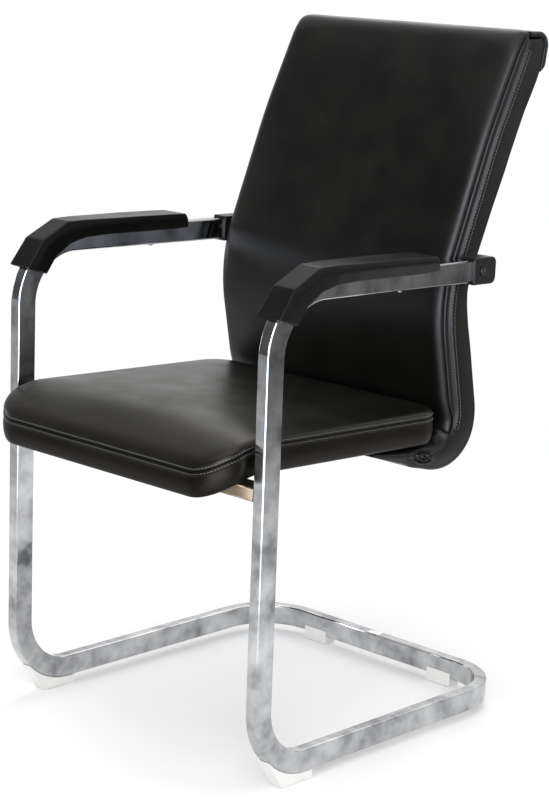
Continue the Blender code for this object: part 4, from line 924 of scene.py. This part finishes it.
def layer(s, width, edge, low, high, behind, ahead):
    """Whole rings of a layer of the panel: flat behind, a round edge of (inset, share) points, flat ahead.

    Its depth before the middle line runs from low to high with the share.
    """
    x = np.concatenate([(width - edge[0, 0]) * np.linspace(0, 1, behind)[:-1], width - edge[:, 0],
                        (width - edge[-1, 0]) * np.linspace(1, 0, ahead)[1:]], 1)
    share = np.concatenate([np.zeros(behind - 1), edge[:, 1], np.ones(ahead - 1)])
    return mirrored(on_back(x, s, -(low + (high - low) * share)))


def back_front():
    """Padded front of the back: a round edge that rises out of the groove, and a face that swells across."""
    s, front, groove, width = (value[:, None] for value in panel_rows())
    edge = through([(0.0080, 0.0), (0.0062, 0.0), (0.0034, 0.03), (0.0012, 0.18), (0.0010, 0.36), (0.0040, 0.66),
                    (0.0125, 0.92), (0.0270, 1.0)], 3)
    mesh = surface("back_front", (layer(s, width, edge, groove + PLAY, front, 15, 37), True))
    place, normal = back_place(s[:, 0])

    def reach(points):
        flat = points[:, 1:]
        nearest = ((flat[:, None] - place[None]) ** 2).sum(-1).argmin(1)
        depth = -((flat - place[nearest]) * normal[nearest]).sum(1)
        run = s[nearest, 0]
        side = smooth_step((HALF_BACK - 0.012 - np.abs(points[:, 0])) / 0.060)
        top = smooth_step((run - 0.010) / 0.060)
        foot = smooth_step((HEEL_START - 0.030 - run) / 0.090)
        return SWELL * side * top * foot * (depth > 0.024)

    return dressed(swollen("back_front_pad", mesh, reach), LEATHER, "back_cushion", slot="black_leather", fill=0.8)


def back_edge_band():
    """Narrow layer between the two grooves of the back's side: a slab with a full, round edge."""
    s, _, groove, width = (value[:, None] for value in panel_rows())
    edge = through([(0.0070, 0.0), (0.0030, 0.03), (0.0008, 0.16), (0.0, 0.36), (0.0, 0.62), (0.0009, 0.85),
                    (0.0034, 0.97), (0.0070, 1.0)], 3)
    rings = layer(s, width, edge, PANEL_REAR, groove - PLAY, 9, 9)
    return piece("back_edge_band", rings, LEATHER, "back_cushion", slot="black_leather", fill=0.6)


def top_outline(wall, rear=BACK_REAR + 2 * PLAY):
    """Side outline, as (n, s) points, of the flap over the top, at a height over its inner face.

    It runs up from the front panel to a round corner, then leans out down to the flap's lower edge.
    """
    top = FLAP - TOP_OVERLAP - wall
    low = FLAP_LENGTH - TOP_OVERLAP - FLAP_SLANT * max(0.0, wall) / FLAP
    corner = rear + wall - TOP_LEAN
    return rounded_path([(-BODY_FRONT, top), (corner, top - TOP_RISE * (corner + BODY_FRONT)), (rear + wall, low)],
                        [TOP_ROUND + wall], 14)


def ridge_height(s):
    """How proud the topstitched band stands: it dies out at the top and the heel, and under the arm's spacer."""
    bolt = float(np.interp(-arm_z(ARM_BOLT_Y), -BACK_LINE[:, 1], BACK_RUN))
    ends = smooth_step((s - 0.008) / 0.030) * smooth_step((HEEL_START + 0.45 * HEEL_ARC - s) / 0.050)
    return RIDGE * ends * smooth_step((np.abs(s - bolt) - 0.010) / 0.012)


def back_shell():
    """Boxing, rear face and rolled lip: rings whose side has the stitched ridge and whose rear corners are round."""
    outline = top_outline(-2 * PLAY)
    peak = int(np.argmin(outline[:, 1]))
    rise, fall = outline[:peak + 1][::-1], outline[peak:]
    highest, lowest = float(outline[peak, 1]), float(outline[-1, 1])
    top = highest + (lowest - highest) * np.linspace(0.04, 1, 12) ** 1.5
    main = np.linspace(lowest, ROLL_END - 0.006, 152)[1:]
    roll = np.linspace(ROLL_END - 0.006, BOARD_END + 2 * PLAY, 8)[1:]
    lip = np.concatenate([np.linspace(BOARD_END + 3 * PLAY, BOARD_END + LIP_STEP_RUN + 0.003, 10),
                          np.linspace(BOARD_END + LIP_STEP_RUN + 0.003, BACK_END, 14)[1:]])
    s = np.concatenate([top, main, roll, lip])
    under = np.concatenate([main, roll])
    cover = smooth_step((under - GROOVES_END) / COVERED) * (under < BOARD_END)
    front = np.concatenate([np.interp(top, rise[:, 1], rise[:, 0]),
                            -BODY_FRONT - cover * (front_depth(under) + PLAY - BODY_FRONT), -front_depth(lip)])
    cover = np.concatenate([0 * top, cover, 0 * lip + 1])[:, None]
    rear = np.concatenate([np.interp(top, fall[:, 1], fall[:, 0]), rear_depth(under), rear_depth(lip)])
    width = width_at(s, highest, BODY_CORNER)
    whole = np.maximum(rear, 0.030)
    squeeze = (rear - front) / (whole + BODY_FRONT)
    s, front, whole, width, squeeze = (value[:, None] for value in (s, front, whole, width, squeeze))

    ridge = through([(0.0095, -BODY_FRONT, 0), (0.0078, -0.0070, 0), (0.0064, -0.0062, 0), (0.0052, -0.0048, 0),
                     (0.0040, -0.0032, 0), (0.0029, -0.0016, 0.7), (0.0019, 0.0002, 1), (0.0011, 0.0024, 1),
                     (0.0005, 0.0048, 0.7), (0.0001, 0.0070, 0), (0.0, 0.0080, 0)], 3)
    x_ridge = width - ridge[:, 0] + ridge_height(s) * ridge[:, 2]
    t = np.linspace(0, 1, 8)[1:-1]
    bare = smooth_step((s - lowest) / 0.070)
    turn, round_off = SIDE_TURN * bare, FLAP_EDGE_ROUND + (REAR_ROUND - FLAP_EDGE_ROUND) * bare
    n_side = 0.0080 + (whole - round_off - 0.0080) * t
    x_side = width - turn * t ** 2
    a = np.radians(np.linspace(0, 90, 8))
    x_corner = width - turn - (round_off - turn) * (1 - np.cos(a))
    n_corner = whole - round_off * (1 - np.sin(a))
    inset = np.array([0.0085, 0.0105, 0.0122, 0.0131, 0.0136, 0.0140, 0.0144, 0.0149, 0.0158, 0.0175, 0.0205, 0.026,
                      0.034, 0.046])
    g = np.linspace(1, 0, 18)[1:]
    from_edge = np.concatenate([np.broadcast_to(inset, (len(s), len(inset))), 0.046 + (width - 0.046) * (1 - g)], 1)
    x_rear = width - from_edge
    marks = [TOP_PADDING, TOP_PADDING + 0.1, HEEL_START - 0.1, HEEL_START]
    full = REAR_CROWN * eased(s, marks, [0, 1, 1, 0])
    fade = smooth_step((HEEL_END - s) / 0.03)
    n_rear = whole + full * (1 - (x_rear / (width - round_off)) ** 4)
    n_rear = n_rear + fade * (bell(from_edge, *REAR_WELT) - bell(from_edge, *REAR_CREASE))
    inner = np.linspace(0, 1, 7)[:-1]
    x = np.concatenate([(width - 0.0095) * inner, x_ridge, x_side, x_corner, x_rear], 1)
    n = np.concatenate([np.broadcast_to(-BODY_FRONT + 0 * inner, (len(s), 6)),
                        np.broadcast_to(ridge[:, 1], (len(s), len(ridge))), n_side, n_corner, n_rear], 1)
    deep = (n + BODY_FRONT) * squeeze
    near_side = np.clip((x - width + 0.020) / 0.010, 0, 1)
    x = x - 0.010 * cover * near_side * np.clip(1 - deep / 0.016, 0, 1) ** 2.2
    rings = mirrored(on_back(x, s, front + deep))
    rings = round_ended(rings, 0.0012, start=False, steps=3)
    return piece("back_shell", rings, LEATHER, "back_body", slot="black_leather", fill=0.75)


def top_flap():
    """Flap of leather over the top edge: its side outline carried across, thinner round both ends."""
    turn = np.radians(np.linspace(0, 90, 9))
    end = HALF_BACK + FLAP_OVERHANG - FLAP_ROUND
    right = np.concatenate([np.linspace(0, end, 30)[:-1], end + FLAP_ROUND * np.sin(turn)])
    walls = np.concatenate([np.full(29, FLAP), FLAP - FLAP_ROUND * (1 - np.cos(turn))])
    rings = []
    for x, wall in zip(right, walls):
        outer, inner = in_steps(top_outline(wall), 60), in_steps(top_outline(0.0), 60)
        ring = blunted(np.concatenate([outer, inner[::-1]]), 0.0016, 2)
        rings.append(on_back(x, ring[:, 1], ring[:, 0]))
    rings = np.array(rings)
    rings = np.concatenate([rings[:0:-1] * (-1, 1, 1), rings])
    return piece("back_top_flap", rings, LEATHER, "back_top_roll", slot="black_leather", fill=0.7)


def back_stitches():
    """Thread in two rows along each side's ridge, one row beside each rear seam, and one along the flap."""
    seams = []
    s = np.linspace(0.018, HEEL_START + 0.30 * HEEL_ARC, 300)
    rear_s = np.linspace(FLAP_LENGTH + 0.004, HEEL_END - 0.030, 300)
    for side, _ in SIDES:
        outward = np.broadcast_to(np.array([side, 0.0, 0.0]), (300, 3))
        for n, inset, lift in RIDGE_ROWS:
            seams.append((on_back(side * (HALF_BACK - inset + lift * ridge_height(s)), s, n), outward))
        depth = rear_depth(rear_s) + 0.0004
        _, normal = back_place(rear_s)
        outward = np.column_stack([0 * rear_s, normal])
        seams.append((on_back(side * (HALF_BACK - REAR_SEAM), rear_s, depth), outward))
    low = top_outline(FLAP)
    n, row = np.interp(0.92, np.linspace(0, 1, 61), in_steps(low, 60)[:, 0]), in_steps(low, 60)[55, 1]
    x = np.linspace(-HALF_BACK + 0.012, HALF_BACK - 0.012, 80)
    _, normal = back_place(np.array(row))
    seams.append((on_back(x, np.full(80, row), n + 0.0002), np.column_stack([0 * x, *(0 * x + v for v in normal)])))
    return stitches("back_seam_stitches", *seams)


def lip_pucker(side, label):
    """Leather gathered at the lip's side: an oval swelling in folds that run round it, thrown by the pull.

    Height is a dome in the radius, plus waves in the radius that shift a little with the angle.
    """
    r, a = np.linspace(0.02, 1, 30)[:, None], np.radians(np.linspace(0, 360, 72, endpoint=False))[None]
    wave = np.cos(2 * np.pi * (2.6 * r + 0.12 * np.sin(2 * a + 0.6) + 0.05 * np.sin(5 * a)))
    spoke = np.cos(9 * a + 5 * r) * r * (1 - r)
    height = 0.0022 * (1 - r ** 2) + 0.0019 * wave * np.clip(4 * (1 - r), 0, 1) + 0.0036 * spoke - 0.0006 * r ** 4
    y = PUCKER[0] + PUCKER_SIZE[0] * r * np.cos(a)
    z = PUCKER[1] + PUCKER_SIZE[1] * r * np.sin(a) - 0.10 * (y - PUCKER[0])
    front = np.stack([side * (HALF_BACK + height), y + 0 * height, z + 0 * height], -1)
    rear = front[::-6].copy()
    rear[..., 0] = side * (HALF_BACK - 0.0015)
    return piece("lip_pucker_" + label, np.concatenate([front, rear]), LEATHER, slot="black_leather", fill=0.4)


# The camera and the studio

CAMERA_AZIMUTH = 43.6868
CAMERA_ELEVATION = 12.5445
CAMERA_ROLL = 2.0895
CAMERA_DISTANCE = 3.0926
CAMERA_AIM = (0.0269, 0.23, 0.4656)
CAMERA_LENS = 96.11


def direction(azimuth, elevation):
    """Unit vector from the chair towards a place at that azimuth, counted from -Y towards +X, and height."""
    a, e = math.radians(azimuth), math.radians(elevation)
    return Vector((math.sin(a) * math.cos(e), -math.cos(a) * math.cos(e), math.sin(e)))


def photo_camera():
    """Camera at the photograph's place: it looks along -direction and is rolled a little about that line."""
    back = direction(CAMERA_AZIMUTH, CAMERA_ELEVATION)
    right = Vector((-back.y, back.x, 0)).normalized()
    up = back.cross(right)
    turn = Matrix.Rotation(math.radians(CAMERA_ROLL), 3, back)
    axes = Matrix((turn @ right, turn @ up, back)).transposed()
    lens = bpy.data.cameras.new("photo_camera")
    lens.lens = CAMERA_LENS
    lens.sensor_width = 36
    camera = placed("photo_camera", lens)
    aim = right * CAMERA_AIM[0] + Vector((0, CAMERA_AIM[1] + leg_y, CAMERA_AIM[2]))
    camera.matrix_world = Matrix.Translation(aim + back * CAMERA_DISTANCE) @ axes.to_4x4()
    bpy.context.scene.camera = camera


def softbox(name, azimuth, elevation, distance, width, height, power):
    """Rectangular area lamp that faces the chair's middle."""
    lamp = bpy.data.lights.new(name, "AREA")
    lamp.shape = "RECTANGLE"
    lamp.size, lamp.size_y, lamp.energy = width, height, power
    obj = placed(name, lamp)
    towards = direction(azimuth, elevation)
    obj.location = Vector((0, 0, 0.5)) + towards * distance
    obj.rotation_euler = towards.to_track_quat("Z", "Y").to_euler()


def seen(tree):
    """1 for rays that show the background itself: straight from the camera, or by way of metal or glass."""
    ray = add(tree, "ShaderNodeLightPath").outputs
    either = add(tree, "ShaderNodeMath", {"operation": "MAXIMUM"},
                 i0=ray["Is Camera Ray"], i1=ray["Is Glossy Ray"])
    return add(tree, "ShaderNodeMath", {"operation": "MAXIMUM"},
               i0=either.outputs[0], i1=ray["Is Transmission Ray"]).outputs[0]


def patch_of_light(tree, towards, azimuth, elevation, outer, inner, dim, bright):
    """Round patch about a direction: it eases from dim to bright as the cosine to it runs from outer to inner."""
    cosine = add(tree, "ShaderNodeVectorMath", {"operation": "DOT_PRODUCT", 1: direction(azimuth, elevation)},
                 i0=towards)
    light = add(tree, "ShaderNodeMapRange", {"interpolation_type": "SMOOTHSTEP", "From Min": outer, "From Max": inner,
                                             "To Min": dim, "To Max": bright}, Value=cosine.outputs["Value"])
    return light.outputs["Result"]


def daylight(tree, window):
    """White, and a little blue where gloss mirrors the window."""
    mirrored_part = add(tree, "ShaderNodeMath", {"operation": "MULTIPLY"}, i0=window,
                        i1=add(tree, "ShaderNodeLightPath").outputs["Is Glossy Ray"])
    return add(tree, "ShaderNodeMix", {"data_type": "RGBA", 6: (1, 1, 1, 1), 7: colour("#e8eefb")},
               i0=mirrored_part.outputs[0]).outputs[2]


def white_world():
    """White all round for the camera; gloss sees white behind the chair, a bright window, and a dim room."""
    world = bpy.data.worlds.new("white_studio")
    bpy.context.scene.world = world
    world.use_nodes = True
    tree = world.node_tree
    ray = add(tree, "ShaderNodeLightPath").outputs
    towards = add(tree, "ShaderNodeTexCoord").outputs["Generated"]
    room = patch_of_light(tree, towards, 192, 8, -0.45, 0.85, 0.13, 1.05)
    window = patch_of_light(tree, towards, 48, 12, 0.80, 0.99, 0.0, 8.0)
    gloss = add(tree, "ShaderNodeMath", {"operation": "ADD"}, i0=room, i1=window)
    dim = add(tree, "ShaderNodeMix", {"data_type": "FLOAT", 2: 0.80}, i0=seen(tree), i3=gloss.outputs[0])
    level = add(tree, "ShaderNodeMath", {"operation": "MAXIMUM"}, i0=dim.outputs[0], i1=ray["Is Camera Ray"])
    tree.links.new(level.outputs[0], tree.nodes["Background"].inputs["Strength"])
    tree.links.new(daylight(tree, window), tree.nodes["Background"].inputs["Color"])


def studio_floor():
    """Matt pale floor that keeps the chair's shadow and turns to the background's white with distance.

    Gloss sees it dim towards the rear and far off, and bright on the window's side.
    """
    reach = 9.0
    mesh = bpy.data.meshes.new("studio_floor")
    mesh.from_pydata([(-reach, -reach, 0), (reach, -reach, 0), (reach, reach, 0), (-reach, reach, 0)], [],
                     [(0, 1, 2, 3)])
    floor = placed("studio_floor", mesh)
    floor.location = (0, 0, -0.0005)
    mat, tree, shader, place = finish("matt_floor_paint", "#e6e6e6", 0.9)
    shader.inputs["Specular IOR Level"].default_value = 0.0
    shader.inputs["Emission Color"].default_value = (1, 1, 1, 1)
    far = add(tree, "ShaderNodeVectorMath", {"operation": "LENGTH"}, i0=place).outputs["Value"]
    white = add(tree, "ShaderNodeMapRange", {"interpolation_type": "SMOOTHSTEP", "From Min": 0.75, "From Max": 2.1},
                Value=far)
    ray = add(tree, "ShaderNodeLightPath").outputs
    split = add(tree, "ShaderNodeSeparateXYZ", Vector=place)
    rear = add(tree, "ShaderNodeMapRange", {"From Min": -1.2, "From Max": 1.6, "To Min": 0.80, "To Max": 0.34},
               Value=split.outputs["Y"])
    near = add(tree, "ShaderNodeVectorMath", {"operation": "NORMALIZE"}, i0=place)
    window = patch_of_light(tree, near.outputs[0], 50, 0, 0.76, 0.98, 0.0, 6.5)
    fading = add(tree, "ShaderNodeMapRange", {"From Min": 0.9, "From Max": 3.2, "To Min": 1.0, "To Max": 0.6},
                 Value=far)
    gloss = add(tree, "ShaderNodeMath", {"operation": "MULTIPLY_ADD"}, i0=rear.outputs["Result"],
                i1=fading.outputs["Result"], i2=window)
    shown = add(tree, "ShaderNodeMath", {"operation": "MULTIPLY"}, i0=gloss.outputs[0], i1=seen(tree))
    level = add(tree, "ShaderNodeMix", {"data_type": "FLOAT", 3: 1.0}, i0=ray["Is Camera Ray"], i2=shown.outputs[0])
    glow = add(tree, "ShaderNodeEmission", Strength=level.outputs[0], Color=daylight(tree, window))
    mixed = add(tree, "ShaderNodeMixShader", i0=white.outputs["Result"], i1=shader.outputs[0], i2=glow.outputs[0])
    tree.links.new(mixed.outputs[0], tree.nodes["Material Output"].inputs["Surface"])
    lift = add(tree, "ShaderNodeMath", {"operation": "MULTIPLY", 1: 0.17}, i0=seen(tree))
    tree.links.new(lift.outputs[0], shader.inputs["Emission Strength"])
    mesh.materials.append(mat)


photo_camera()
white_world()
studio_floor()
# Name, azimuth, elevation, distance, width, height and watts
for lamp in (("top_softbox", 10, 76, 2.6, 2.2, 2.2, 26), ("front_softbox", 40, 30, 3.8, 1.6, 1.2, 34),
             ("low_softbox", 5, 10, 3.4, 1.6, 0.8, 8), ("left_softbox", -72, 5, 3.4, 1.0, 0.8, 10),
             ("side_softbox", 110, 30, 3.0, 1.2, 2.0, 8), ("rear_softbox", 215, 40, 3.0, 1.6, 1.6, 18)):
    softbox(*lamp)
bpy.context.scene.view_settings.view_transform = "Standard"

for side, label in SIDES:
    frame_tube(side, label)
    arm_pad(side, label)
    arm_cap(side, label)
    arm_spacer(side, label)
    fastener("arm_bolt_" + label, *BOLT, CAP)
    fastener("arm_pad_screw_" + label, *SCREW, ZINC)
    for start in ("saddle_bolt_", "lip_bolt_inner_", "lip_bolt_outer_"):
        fastener(start + label, *BOLT, ZINC)
    for start in ("front_glide_screw_", "rear_glide_screw_"):
        fastener(start + label, *SCREW, ZINC)
    lip_pucker(side, label)
seat_bar()
seat_top()
seat_boxing()
seat_stitches()
back_front()
back_edge_band()
back_shell()
top_flap()
back_stitches()
